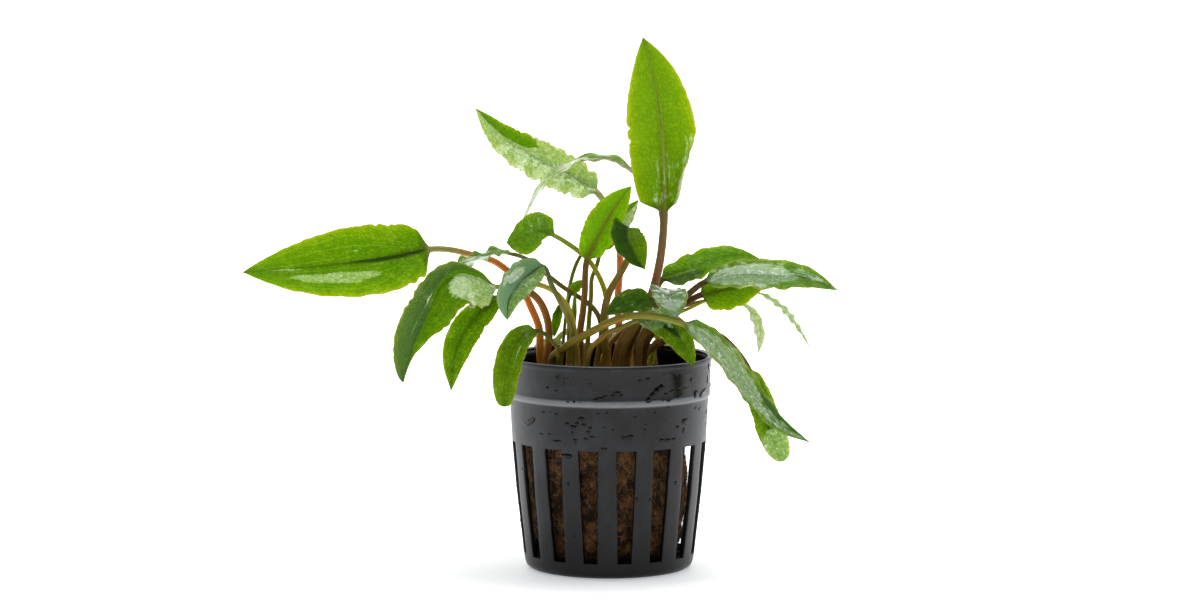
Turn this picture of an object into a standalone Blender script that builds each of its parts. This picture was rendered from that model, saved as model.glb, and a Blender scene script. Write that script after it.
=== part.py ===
import math

import bmesh
import bpy
from mathutils import Vector

# Potted cryptocoryne in a 5 cm net pot. Driving dimensions in millimetres, modelled in metres, +Z up.
# The origin is the middle of the pot's underside; -Y is the front of the plant.
MM = 0.001
GAP = 0.3

POT_HEIGHT = 53.5
RIM_RADIUS = 25.6
BASE_RADIUS = 20.2
FLOOR = 1.4
TURN_STEPS = 32

SLOT_COUNT = 16
SLOT_TURN = math.radians(-1.2)
SLOT_BOTTOM = 4.0
SLOT_TOP = 32.3
SLOT_WIDTH_BOTTOM = 3.5
SLOT_WIDTH_TOP = 5.1

BASE_SLOT_COUNT = 8
BASE_SLOT_INNER = 7.0
BASE_SLOT_OUTER = 14.6
BASE_SLOT_WIDTH = 2.6

WOOL_TOP = 44.0
WOOL_STEPS = 24
SOCKET_FLOOR = 40.6
ROOT_Z = 41.0

RING = 8
BLADE_STATIONS = {
    8: (0.0, 0.05, 0.14, 0.27, 0.42, 0.58, 0.74, 0.88, 1.0),
    7: (0.0, 0.06, 0.18, 0.34, 0.52, 0.7, 0.87, 1.0),
    6: (0.0, 0.1, 0.26, 0.45, 0.65, 0.84, 1.0),
}

roots = []


def clear_scene():
    for thing in list(bpy.data.objects):
        bpy.data.objects.remove(thing, do_unlink=True)


def make_collection(name):
    collection = bpy.data.collections.new(name)
    bpy.context.scene.collection.children.link(collection)
    return collection


clear_scene()
parts = make_collection("potted_cryptocoryne")
cutters = make_collection("cutters")


def make_material(name, colour, roughness, metallic=0.0):
    material = bpy.data.materials.new(name)
    material.use_nodes = True
    shader = material.node_tree.nodes["Principled BSDF"]
    shader.inputs["Base Color"].default_value = (*colour, 1.0)
    shader.inputs["Roughness"].default_value = roughness
    shader.inputs["Metallic"].default_value = metallic
    material.diffuse_color = (*colour, 1.0)
    return material


def finish_object(name, bm, colour, roughness, crease=35.0):
    bmesh.ops.recalc_face_normals(bm, faces=bm.faces)
    for face in bm.faces:
        face.smooth = True
    for edge in bm.edges:
        if len(edge.link_faces) == 2:
            edge.smooth = edge.calc_face_angle(0.0) < math.radians(crease)
    mesh = bpy.data.meshes.new(name)
    bm.to_mesh(mesh)
    bm.free()
    thing = bpy.data.objects.new(name, mesh)
    mesh.materials.append(make_material(name + "_finish", colour, roughness))
    parts.objects.link(thing)
    return thing


def make_cutter(name, bm):
    bmesh.ops.recalc_face_normals(bm, faces=bm.faces)
    mesh = bpy.data.meshes.new(name)
    bm.to_mesh(mesh)
    bm.free()
    thing = bpy.data.objects.new(name, mesh)
    thing.hide_render = True
    thing.display_type = "WIRE"
    cutters.objects.link(thing)
    return thing


def cut(thing, cutter):
    boolean = thing.modifiers.new("cut_" + cutter.name, "BOOLEAN")
    boolean.operation = "DIFFERENCE"
    boolean.solver = "EXACT"
    boolean.object = cutter


# smooth curve through the given points, as short straight pieces
def smooth_curve(points, steps=24):
    given = [Vector(point) for point in points]
    given = [given[0] * 2 - given[1]] + given + [given[-1] * 2 - given[-2]]
    curve = []
    for i in range(1, len(given) - 2):
        before, start, end, after = given[i - 1:i + 3]
        gap_before = max((start - before).length ** 0.5, 1e-6)
        gap = max((end - start).length ** 0.5, 1e-6)
        gap_after = max((after - end).length ** 0.5, 1e-6)
        leaving = (start - before) / gap_before - (end - before) / (gap_before + gap) + (end - start) / gap
        reaching = (end - start) / gap - (after - start) / (gap + gap_after) + (after - end) / gap_after
        leaving *= gap
        reaching *= gap
        for j in range(steps):
            t = j / steps
            curve.append(start * (2 * t ** 3 - 3 * t * t + 1) + leaving * (t ** 3 - 2 * t * t + t)
                         + end * (3 * t * t - 2 * t ** 3) + reaching * (t ** 3 - t * t))
    curve.append(given[-2])
    return curve


def running_lengths(curve):
    lengths = [0.0]
    for i in range(1, len(curve)):
        lengths.append(lengths[-1] + (curve[i] - curve[i - 1]).length)
    return lengths


def sample(values, lengths, distance):
    for i in range(1, len(lengths)):
        if distance <= lengths[i]:
            t = (distance - lengths[i - 1]) / max(lengths[i] - lengths[i - 1], 1e-9)
            return values[i - 1].lerp(values[i], t)
    return values[-1].copy()


def directions(curve):
    found = []
    for i in range(len(curve)):
        low = max(i - 1, 0)
        high = min(i + 1, len(curve) - 1)
        found.append((curve[high] - curve[low]).normalized())
    return found


# share of the full half width at a place between the blade's base (0) and its tip (1)
def outline(place, widest, base_power, tip_power):
    if place < widest:
        return max(0.0, 1 - (1 - place / widest) ** 2) ** base_power
    return max(0.0, 1 - ((place - widest) / (1 - widest)) ** 2) ** tip_power


def blend_list(values, place):
    x = place * (len(values) - 1)
    i = min(int(x), len(values) - 2)
    return Vector(values[i]).lerp(Vector(values[i + 1]), x - i)


def square_to(vector, direction):
    return (vector - direction * vector.dot(direction)).normalized()


def round_section(across, up, radius, radius_up=None):
    radius_up = radius if radius_up is None else radius_up
    return [across * radius * math.cos(2 * math.pi * i / RING)
            + up * radius_up * math.sin(2 * math.pi * i / RING) for i in range(RING)]


# thin folded section: one edge, three points over the top, the other edge, three points below
def blade_section(across, up, half_widths, fold, curl, rib):
    lean = math.radians(fold)

    def point(side, share, lift):
        width = half_widths[0 if side > 0 else 1] * share
        rise = width * math.sin(lean) + curl * width * share + lift
        return across * side * width * math.cos(lean) + up * rise

    skin = 0.22
    below = max(rib, 0.18)
    above = max(0.25, 0.5 * below)
    return [point(1, 1, 0), point(1, 0.5, skin), point(1, 0, above), point(-1, 0.5, skin),
            point(-1, 1, 0), point(-1, 0.5, -skin), point(1, 0, -below), point(1, 0.5, -skin)]


def loft(sections, name, colour, roughness):
    bm = bmesh.new()
    loops = [[bm.verts.new(point * MM) for point in section] for section in sections]
    for lower, upper in zip(loops, loops[1:]):
        for i in range(RING):
            j = (i + 1) % RING
            bm.faces.new((lower[i], lower[j], upper[j], upper[i]))
    bm.faces.new(loops[0])
    bm.faces.new(loops[-1])
    return finish_object(name, bm, colour, roughness, crease=70.0)


# one leaf, blade and stalk grown as one piece, from its foot in the wool to its tip
def make_leaf(name, stalk, blade, across, widths, fold, curl, stalk_radii, widest, base_power,
              tip_power, rings=(6, 7), colour=(0.12, 0.3, 0.03), roughness=0.4):
    curve = smooth_curve(stalk + blade)
    lengths = running_lengths(curve)
    heading = directions(curve)
    base_index = len(stalk) * 24
    base_length = lengths[base_index]
    side = square_to(Vector(across[0]), heading[base_index])
    sides = {base_index: side}
    for i in range(base_index - 1, -1, -1):
        side = square_to(side, heading[i])
        sides[i] = side

    sections = []
    for k in range(rings[0]):
        share = k / rings[0]
        distance = base_length * share
        index = min(sum(1 for length in lengths if length < distance), base_index)
        direction = sample(heading, lengths, distance).normalized()
        side = square_to(sides[index], direction)
        radius = stalk_radii[0] + (stalk_radii[1] - stalk_radii[0]) * share
        centre = sample(curve, lengths, distance)
        sections.append([centre + p for p in round_section(side, direction.cross(side), radius)])
    for place in BLADE_STATIONS[rings[1]]:
        distance = base_length + (lengths[-1] - base_length) * place
        direction = sample(heading, lengths, distance).normalized()
        side = square_to(blend_list(across, place), direction)
        up = direction.cross(side)
        half = [widths[i] * outline(place, widest, base_power[i], tip_power) for i in range(2)]
        radius = stalk_radii[1] * (1 - 0.75 * place ** 0.6)
        centre = sample(curve, lengths, distance)
        if place >= 1:
            section = round_section(side, up, 0.12, 0.1)
        else:
            flat = blade_section(side, up, half, fold, curl, radius)
            stem = round_section(side, up, max(radius, 0.12))
            share = min(place / 0.06, 1.0)
            section = [a * (1 - share) + b * share for a, b in zip(stem, flat)]
        sections.append([centre + p for p in section])
    roots.append((stalk[0], stalk_radii[0]))
    return loft(sections, name, colour, roughness)


def lathe(profile, name):
    mesh = bpy.data.meshes.new(name)
    bm = bmesh.new()
    verts = [bm.verts.new((radius * MM, 0.0, z * MM)) for radius, z in profile]
    for a, b in zip(verts, verts[1:]):
        bm.edges.new((a, b))
    bm.to_mesh(mesh)
    bm.free()
    thing = bpy.data.objects.new(name, mesh)
    screw = thing.modifiers.new("turn", "SCREW")
    screw.axis = "Z"
    screw.steps = TURN_STEPS
    screw.render_steps = TURN_STEPS
    screw.use_merge_vertices = True
    screw.merge_threshold = 0.00001
    screw.use_smooth_shade = True
    parts.objects.link(thing)
    return thing


# wedge-shaped bar through the wall, narrower at its lower end, turned to its place round the axis
def add_slot_bar(bm, angle, inner, outer, low, high, width_low, width_high):
    made = bmesh.ops.create_cube(bm, size=1.0)["verts"]
    for vert in made:
        top = vert.co.z > 0
        width = width_high if top else width_low
        along = outer if vert.co.y > 0 else inner
        across = width * (0.5 if vert.co.x > 0 else -0.5)
        vert.co = Vector((across, along, high if top else low)) * MM
        x, y = vert.co.x, vert.co.y
        vert.co.x = x * math.cos(angle) - y * math.sin(angle)
        vert.co.y = x * math.sin(angle) + y * math.cos(angle)


def make_pot():
    # from the axis of the underside, up the outer side, over the lip and down inside
    profile = [
        (0.0, 0.0), (18.6, 0.0), (BASE_RADIUS, 0.5), (20.9, 1.8), (21.3, 4.6), (23.1, 19.7),
        (24.2, 32.3), (24.75, 42.9), (25.2, 43.6), (25.15, 44.6), (25.4, 52.1),
        (RIM_RADIUS, 52.5), (RIM_RADIUS, POT_HEIGHT - 0.2), (25.4, POT_HEIGHT), (24.7, POT_HEIGHT),
        (24.35, 52.6), (23.8, 43.4), (23.2, 32.3), (20.35, 4.6), (19.4, 2.4), (17.8, FLOOR),
        (0.0, FLOOR),
    ]
    pot = lathe(profile, "net_pot")
    pot.data.materials.append(make_material("net_pot_finish", (0.03, 0.032, 0.036), 0.38))
    sides = bmesh.new()
    for i in range(SLOT_COUNT):
        angle = math.pi + 2 * math.pi * (i + 0.5) / SLOT_COUNT + SLOT_TURN
        add_slot_bar(sides, angle, 18.6, 28.0, SLOT_BOTTOM, SLOT_TOP, SLOT_WIDTH_BOTTOM, SLOT_WIDTH_TOP)
    cut(pot, make_cutter("side_slots", sides))
    floor = bmesh.new()
    for i in range(BASE_SLOT_COUNT):
        angle = 2 * math.pi * (i + 0.5) / BASE_SLOT_COUNT + SLOT_TURN
        add_slot_bar(floor, angle, BASE_SLOT_INNER, BASE_SLOT_OUTER, -1.0, FLOOR + 1.0,
                     BASE_SLOT_WIDTH, BASE_SLOT_WIDTH)
    cut(pot, make_cutter("base_slots", floor))
    return pot


# plug outline in rings: height, radius, sideways shift
def make_wool():
    levels = [
        (1.9, 13.2, 0.0), (2.8, 15.4, 0.0), (7.0, 17.9, -0.1), (14.0, 19.3, -0.2),
        (23.0, 19.8, -0.4), (31.0, 19.8, -1.2), (40.0, 19.9, -1.4), (WOOL_TOP, 19.2, -1.4),
    ]
    bm = bmesh.new()
    loops = []
    for height, radius, shift in levels:
        made = bmesh.ops.create_circle(bm, segments=WOOL_STEPS, radius=radius * MM)["verts"]
        flat = height in (levels[0][0], levels[-1][0])
        for vert in made:
            angle = math.atan2(vert.co.y, vert.co.x)
            lump = 0.22 * math.sin(3 * angle + height * 0.35) + 0.18 * math.sin(7 * angle - height * 0.5)
            scale = 1 + (0 if flat else lump * 0.6) / radius
            vert.co = Vector((vert.co.x * scale + shift * MM, vert.co.y * scale + shift * MM, height * MM))
        loops.append(made)
    for lower, upper in zip(loops, loops[1:]):
        edges = {edge for vert in lower + upper for edge in vert.link_edges}
        ring_edges = [edge for edge in edges if edge.is_wire or len(edge.link_faces) < 2]
        wanted = set(lower) | set(upper)
        ring_edges = [edge for edge in ring_edges if set(edge.verts) <= wanted]
        bmesh.ops.bridge_loops(bm, edges=ring_edges)
    bmesh.ops.holes_fill(bm, edges=bm.edges, sides=0)
    wool = finish_object("wool_plug", bm, (0.1, 0.055, 0.025), 0.95)
    sockets = bmesh.new()
    for root, radius in roots:
        depth = WOOL_TOP + 1.5 - SOCKET_FLOOR
        made = bmesh.ops.create_cone(sockets, cap_ends=True, segments=6, depth=depth * MM,
                                     radius1=(radius + GAP) / math.cos(math.pi / 6) * MM,
                                     radius2=(radius + GAP + 0.3) / math.cos(math.pi / 6) * MM)["verts"]
        bmesh.ops.translate(sockets, verts=made,
                            vec=Vector((root[0], root[1], SOCKET_FLOOR + depth / 2)) * MM)
    cut(wool, make_cutter("sockets", sockets))
    return wool


# the cut end of an old stalk, leaning outward
def make_stub():
    foot = Vector((-9.3, -15.0, ROOT_Z))
    points = [foot, (-9.3, -15.0, 44.6), (-9.4, -15.0, 48.6), (-10.3, -14.9, 52.6)]
    curve = smooth_curve(points)
    lengths = running_lengths(curve)
    heading = directions(curve)
    sections = []
    for k in range(6):
        distance = lengths[-1] * k / 5
        direction = sample(heading, lengths, distance).normalized()
        side = square_to(Vector((1.0, 0.0, 0.2)), direction)
        centre = sample(curve, lengths, distance)
        sections.append([centre + p for p in round_section(side, direction.cross(side), 0.95)])
    roots.append((tuple(foot), 0.95))
    return loft(sections, "cut_stub", (0.42, 0.3, 0.14), 0.6)


# strip of old leaf caught between the wool and the pot wall, behind the left slot
def make_slot_scrap():
    levels = [(8.0, 0.25), (11.5, 0.9), (15.5, 0.55), (19.5, 0.8), (23.5, 1.0), (27.5, 0.3)]
    angle = math.radians(200.0)
    outward = Vector((math.cos(angle), math.sin(angle), 0.0))
    side = Vector((-outward.y, outward.x, 0.0))
    sections = []
    for height, half in levels:
        radius = 19.6 + (height - 4.6) * 0.103
        centre = outward * radius + Vector((0.0, 0.0, height))
        sections.append([centre + p for p in round_section(side, outward, half, 0.25)])
    return loft(sections, "slot_scrap", (0.35, 0.36, 0.05), 0.6)


def make_leaves():
    make_leaf(
        "leaf_left_wide",
        stalk=[(-16.6, 4, 41), (-16.6, 4, 45.2), (-17.3, 4, 53.5), (-17.5, 5, 59.2),
               (-19.6, 7, 64.5), (-23.1, 9, 70.9), (-28.6, 11, 75.5), (-34.9, 11, 77.4),
               (-39.6, 10, 78.6)],
        blade=[(-44.4, 9, 78.9), (-56, 7, 76.9), (-67.2, 5, 75.6), (-78.4, 4, 74.5),
               (-91.3, 3, 73.7)],
        across=[(0, -0.45, -0.9), (0, -0.4, -0.92), (0, -0.5, -0.85)],
        widths=(9.9, 8.9), fold=8, curl=0.05, stalk_radii=(1.05, 0.75),
        widest=0.36, base_power=(0.4, 0.4), tip_power=0.95, rings=(8, 8),
        colour=(0.17, 0.36, 0.02))
    make_leaf(
        "leaf_upper_left",
        stalk=[(2.5, 10, 41), (2.5, 10, 45.2), (2.5, 11, 58.3), (2.2, 12, 65.8), (2.8, 14, 75.2),
               (2, 16, 81.8), (-0.3, 17, 88)],
        blade=[(-3, 18, 92.3), (-10.9, 18.5, 97), (-18.7, 19, 101), (-26.7, 20, 106),
               (-33.6, 22, 113.2)],
        across=[(-0.2, -0.62, -0.78), (-0.3, -0.62, -0.73), (-0.5, -0.55, -0.65)],
        widths=(6.6, 5.4), fold=10, curl=0, stalk_radii=(1, 0.8),
        widest=0.34, base_power=(0.3, 0.3), tip_power=0.9, rings=(8, 8),
        colour=(0.20, 0.38, 0.08))
    make_leaf(
        "leaf_arching",
        stalk=[(-3.6, 7, 41), (-3.6, 7, 45.2), (0.5, 7.6, 55.5), (6, 8.4, 60.2), (9.4, 9, 64.6),
               (11.4, 9, 70.2), (12.9, 9, 77), (13.4, 9.3, 83.5), (12.2, 9.8, 91)],
        blade=[(8.5, 10, 95.7), (4.7, 9.5, 99.2), (-0.3, 9, 101.5), (-6, 8.5, 101.3),
               (-11.5, 8, 99), (-16.5, 7.7, 94.9), (-21.5, 7, 86.4)],
        across=[(0, -1, -0.12), (0, -1, -0.05), (-0.2, -1, 0)],
        widths=(4.6, 4.6), fold=6, curl=0, stalk_radii=(0.8, 0.6),
        widest=0.3, base_power=(0.5, 0.5), tip_power=1,
        colour=(0.30, 0.42, 0.18))
    make_leaf(
        "leaf_tall",
        stalk=[(1.3, 1, 41), (1.3, 1, 45.2), (2.7, 0.5, 55.5), (5.9, 0, 60.5), (9.2, -1, 65.2),
               (11.1, -2, 70.5), (12.6, -2.5, 77.3), (13.3, -3, 83.3)],
        blade=[(13.6, -3, 88.8), (13.5, -4, 101.5), (12.8, -5, 110.7), (11, -7, 122.2),
               (8.3, -9, 132.6)],
        across=[(1, 0.1, 0), (1, 0.15, 0), (1, 0.2, 0.15)],
        widths=(8.4, 8.4), fold=6, curl=0.03, stalk_radii=(1.25, 0.95),
        widest=0.46, base_power=(0.62, 0.22), tip_power=0.92, rings=(8, 8),
        colour=(0.17, 0.35, 0.02))
    make_leaf(
        "leaf_centre",
        stalk=[(-7.5, -3, 41), (-7.5, -3, 45.2), (-7.2, -3.5, 59.2), (-6.5, -4, 64.5),
               (-6, -5, 70.1), (-5.9, -6, 74.2)],
        blade=[(-5.5, -7, 77.7), (-3.5, -8, 82), (-1, -10, 86.9), (1.6, -12, 91.5),
               (5.3, -14, 96.5)],
        across=[(0.8, 0.1, -0.45), (0.75, 0.15, -0.55), (0.7, 0.2, -0.6)],
        widths=(4.2, 4.6), fold=14, curl=0, stalk_radii=(0.95, 0.75),
        widest=0.42, base_power=(0.42, 0.42), tip_power=0.9,
        colour=(0.22, 0.42, 0.02))
    make_leaf(
        "leaf_curled_front",
        stalk=[(0.2, -5, 41), (0.2, -5, 45.2), (-1.3, -6, 63.2), (-0.1, -7, 69.3), (2.4, -8, 73.9),
               (4.9, -9, 78.7), (6.1, -11, 82.8)],
        blade=[(5.8, -14, 85.8), (4.6, -17.5, 86.6), (4.5, -20.5, 84.4), (6.2, -23, 81),
               (8.6, -25, 77.3)],
        across=[(0.9, 0.15, -0.2), (0.85, -0.3, -0.35), (0.8, -0.3, -0.5)],
        widths=(4, 4.6), fold=12, curl=0, stalk_radii=(1, 0.8),
        widest=0.42, base_power=(0.4, 0.4), tip_power=0.95,
        colour=(0.06, 0.20, 0.04))
    make_leaf(
        "leaf_small_left",
        stalk=[(-1, -1.5, 41), (-1, -1.5, 45.2), (-0.8, -1, 62.7), (-0.8, -0.5, 67.9),
               (-1.8, 0, 71.3), (-3.3, 0, 74.3), (-5.3, 0, 77.3), (-8, -1, 79.6),
               (-10.7, -3, 81.7)],
        blade=[(-13.6, -6, 83.7), (-16.6, -10, 85.2), (-19.4, -15, 85.2), (-22.3, -20, 84.2),
               (-24.9, -24, 83.6)],
        across=[(0.1, -0.1, -1), (0.3, -0.3, -0.9), (0.3, -0.3, -0.9)],
        widths=(4.6, 4.6), fold=10, curl=0, stalk_radii=(0.8, 0.6),
        widest=0.42, base_power=(0.45, 0.45), tip_power=0.8,
        colour=(0.14, 0.32, 0.04))
    make_leaf(
        "leaf_edge_left",
        stalk=[(-4.2, -1.8, 41), (-4.2, -1.8, 45.2), (-2, -2.6, 61.1), (-3.8, -1.6, 65),
               (-7.2, -1.2, 67.7), (-11.5, -1.6, 70.5), (-15.9, -2, 74), (-19.1, -2, 76.7),
               (-21.4, -1.5, 77.9)],
        blade=[(-23.9, -1, 78.6), (-27.6, -1, 79), (-32.5, -2, 77.5), (-38.5, -3, 75.1),
               (-45.1, -5, 71.1)],
        across=[(0, -1, -0.12), (0, -1, -0.12), (0, -1, -0.12)],
        widths=(4.6, 4.6), fold=5, curl=0, stalk_radii=(0.8, 0.55),
        widest=0.38, base_power=(0.5, 0.5), tip_power=1,
        colour=(0.20, 0.35, 0.12))
    make_leaf(
        "leaf_glossy_left",
        stalk=[(-7.2, -8.9, 41), (-7.2, -8.9, 45.2), (-8.7, -9.6, 60.6), (-9.7, -9.5, 65.1),
               (-11.7, -9, 68.3), (-14.4, -8.5, 70.6), (-18.1, -8.5, 71.9), (-22.5, -9, 72)],
        blade=[(-27.4, -10, 71.4), (-32.3, -11.8, 73.4), (-37, -13.5, 74.4), (-40.6, -15, 72.6),
               (-43.8, -16.5, 66.9), (-47.6, -17.5, 59.3), (-50.5, -18, 48.6)],
        across=[(0.1, -0.6, -0.8), (0.2, -0.5, -0.8), (0.75, -0.3, -0.45), (0.75, -0.3, -0.3)],
        widths=(7.6, 3.6), fold=10, curl=0.05, stalk_radii=(0.85, 0.6),
        widest=0.26, base_power=(0.35, 0.35), tip_power=0.95,
        colour=(0.14, 0.30, 0.08))
    make_leaf(
        "leaf_hanging_left",
        stalk=[(-15.2, -3, 41), (-15.2, -3, 45.2), (-15.2, -3.5, 54.9), (-14.9, -4, 59.2),
               (-15.4, -4.5, 63), (-17.1, -5, 67.1), (-19.8, -5.5, 69.6), (-23.5, -6, 70.2)],
        blade=[(-27, -6.5, 68.5), (-31.4, -7.5, 65.1), (-35.6, -8.5, 60.3), (-38.3, -9.5, 53.7),
               (-39.1, -10, 45.5)],
        across=[(0.6, -0.2, -0.7), (0.85, -0.15, -0.4), (0.9, 0, -0.2)],
        widths=(4, 3.8), fold=10, curl=0, stalk_radii=(1.1, 0.85),
        widest=0.45, base_power=(0.45, 0.45), tip_power=1.1,
        colour=(0.10, 0.28, 0.02))
    make_leaf(
        "leaf_folded_front",
        stalk=[(-9.8, -11.4, 41), (-9.8, -11.4, 45.2), (-9.2, -12, 59.9), (-10.4, -12.8, 64.5),
               (-12.4, -13.4, 68.7), (-14.3, -14, 72.5)],
        blade=[(-16, -15, 76.8), (-19.4, -19, 75.5), (-22.2, -23, 73.2), (-24.4, -27, 69.9),
               (-24.8, -29, 65.3)],
        across=[(0.55, -0.3, -0.5), (0.6, -0.3, -0.6), (0.7, -0.2, -0.5)],
        widths=(4, 4.7), fold=16, curl=0, stalk_radii=(0.9, 0.65),
        widest=0.5, base_power=(0.45, 0.45), tip_power=0.9,
        colour=(0.06, 0.14, 0.08))
    make_leaf(
        "leaf_over_rim",
        stalk=[(-12.6, -14.4, 41), (-12.6, -14.4, 45.2), (-12.8, -16.6, 57), (-14.3, -18.6, 59.2),
               (-15.7, -20.6, 60.9)],
        blade=[(-17.6, -22.6, 61.9), (-20.8, -25, 61.2), (-23.4, -27.5, 57.8),
               (-25.1, -29.5, 51.7), (-25.6, -30, 44.2)],
        across=[(0.5, -0.5, -0.6), (0.85, -0.3, -0.25), (0.9, -0.2, 0)],
        widths=(3.7, 3.4), fold=10, curl=0, stalk_radii=(0.7, 0.5),
        widest=0.46, base_power=(0.4, 0.4), tip_power=0.6,
        colour=(0.10, 0.27, 0.03))
    make_leaf(
        "leaf_right_upper",
        stalk=[(4.2, 5.5, 41), (4.2, 5.5, 45.2), (4.7, 5.6, 53.9), (7, 5.8, 58.9), (9.5, 6, 64.4),
               (11.5, 6.2, 68.4)],
        blade=[(13.2, 6.6, 71.4), (18.2, 8, 73.4), (24.3, 10, 75.6), (30.9, 12, 77.1),
               (37.7, 14, 76.1)],
        across=[(-0.15, 0.75, 0.65), (-0.1, 0.8, 0.6), (0.1, 0.85, 0.5)],
        widths=(4.2, 4), fold=8, curl=0, stalk_radii=(1.1, 0.8),
        widest=0.42, base_power=(0.4, 0.4), tip_power=0.85,
        colour=(0.20, 0.42, 0.02))
    make_leaf(
        "leaf_right_long",
        stalk=[(8, 0.6, 41), (8, 0.6, 45.2), (7.2, -0.4, 56.1), (10.1, -1.4, 60.7),
               (14.4, -2.2, 64.5), (19.1, -2.6, 68.3), (23.8, -2.8, 71.8)],
        blade=[(28, -3, 74.1), (34.4, -4, 74.5), (42.3, -5, 73.8), (49.6, -6, 72.9),
               (56.3, -7, 70.3)],
        across=[(0, 0.87, 0.5), (0, 0.87, 0.5), (0.1, 0.87, 0.45)],
        widths=(5.4, 7.8), fold=8, curl=0, stalk_radii=(1.1, 0.8),
        widest=0.42, base_power=(0.42, 0.42), tip_power=0.9,
        colour=(0.18, 0.30, 0.12))
    make_leaf(
        "leaf_right_lower",
        stalk=[(9.4, 4.6, 41), (9.4, 4.6, 45.2), (9.2, 4.4, 55.3), (11.5, 4.2, 59.1),
               (14.5, 4, 62.6), (18.4, 4, 65.5)],
        blade=[(22.9, 4, 67.9), (26.4, 4.5, 68.6), (30.7, 5, 69.5), (35.2, 5.5, 70.5),
               (39.7, 6, 70.7)],
        across=[(0, 0.35, 0.9), (0, 0.35, 0.9), (0, 0.4, 0.9)],
        widths=(4.6, 5.4), fold=8, curl=0, stalk_radii=(1, 0.75),
        widest=0.4, base_power=(0.3, 0.3), tip_power=0.9,
        colour=(0.14, 0.33, 0.02))
    make_leaf(
        "leaf_thin_right",
        stalk=[(12.4, 7.6, 41), (12.4, 7.6, 45.2), (11.5, 8, 54.8), (13.8, 8.6, 58.6),
               (16.8, 9, 62.3), (20.3, 9.4, 64), (24.1, 9.6, 65.8), (29.8, 10, 67.7),
               (34.1, 10, 68.5)],
        blade=[(37.1, 10, 68), (40.4, 9.5, 66.3), (43.9, 9, 63.6), (46.9, 8.5, 59.8),
               (50.6, 8, 54.1)],
        across=[(0.1, 1, 0.1), (0.1, 1, 0.05), (0.1, 1, 0)],
        widths=(1.6, 1.6), fold=4, curl=0, stalk_radii=(0.6, 0.4),
        widest=0.4, base_power=(0.5, 0.5), tip_power=1.1, rings=(5, 6),
        colour=(0.20, 0.34, 0.12))
    make_leaf(
        "leaf_withered_right",
        stalk=[(6.6, 9.4, 41), (6.6, 9.4, 45.2), (7.8, 9.8, 54.6), (10.3, 10.4, 58.9),
               (14.1, 11, 62.1), (19.1, 11.6, 64.3), (25.4, 12, 65.8), (30.4, 12, 66)],
        blade=[(32.9, 11.5, 65.1), (35.2, 11, 63.1), (36.7, 10.5, 60.4), (37.7, 10, 56.4),
               (37.4, 9.5, 52.4)],
        across=[(0.7, 0.5, -0.5), (0.7, 0.5, -0.3), (0.8, 0.5, 0)],
        widths=(1.9, 1.9), fold=18, curl=0, stalk_radii=(0.6, 0.4),
        widest=0.4, base_power=(0.45, 0.45), tip_power=1, rings=(5, 6),
        colour=(0.30, 0.38, 0.26))
    make_leaf(
        "leaf_long_front",
        stalk=[(-13, -7.6, 41), (-13, -7.6, 45.2), (-14.1, -10.4, 53.5), (-11.6, -13.8, 56.4),
               (-7.9, -17.4, 59.2), (-4, -20, 61.6), (0.2, -22, 64), (4.1, -23, 65.4),
               (8.7, -24, 65.8), (13.1, -24, 65.2)],
        blade=[(17.7, -24, 63.9), (22.6, -23, 60.4), (27.5, -21.5, 55.6), (32, -20, 49.5),
               (36.4, -19, 43.7), (41.9, -18, 37.9), (49.1, -17, 33.8)],
        across=[(0.3, 0.8, 0.45), (0.4, 0.75, 0.4), (0.4, 0.7, 0.45), (0.4, 0.6, 0.5)],
        widths=(4.6, 4.6), fold=12, curl=0, stalk_radii=(1.15, 0.85),
        widest=0.34, base_power=(0.4, 0.4), tip_power=0.95, rings=(8, 8),
        colour=(0.10, 0.22, 0.07))
    make_leaf(
        "leaf_droop_right",
        stalk=[(11.4, -1.8, 41), (11.4, -1.8, 45.2), (10.6, -2.6, 55.1), (14.1, -3.4, 57.4),
               (18.8, -4.4, 59.3), (23.7, -5.2, 59.8), (27.7, -6, 58.5), (31.4, -6.6, 55.1)],
        blade=[(34.6, -7, 50.4), (36.6, -7.5, 44.9), (38.6, -8, 39), (40.8, -8.5, 33.1),
               (43.3, -9, 27.9)],
        across=[(0.9, 0.2, 0.3), (0.9, 0.2, 0.3), (0.9, 0.2, 0.4)],
        widths=(3.6, 3.4), fold=8, curl=0, stalk_radii=(1.05, 0.75),
        widest=0.6, base_power=(0.35, 0.35), tip_power=0.6,
        colour=(0.15, 0.31, 0.04))
    make_leaf(
        "leaf_dark_centre",
        stalk=[(3.2, -9.2, 41), (3.2, -9.2, 45.2), (3.6, -10, 57), (6.6, -11, 61.8),
               (9.5, -12, 66.1), (11.2, -13, 68.1)],
        blade=[(10.5, -15, 68.7), (7.8, -16.5, 68.5), (5.1, -17.5, 67.9), (2.1, -18.4, 66.9),
               (-0.8, -19, 65.4)],
        across=[(-0.2, -0.7, -0.6), (-0.1, -0.75, -0.6), (-0.1, -0.7, -0.6)],
        widths=(3.8, 4.2), fold=10, curl=0, stalk_radii=(0.9, 0.7),
        widest=0.42, base_power=(0.45, 0.45), tip_power=0.85,
        colour=(0.04, 0.14, 0.03))
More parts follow.
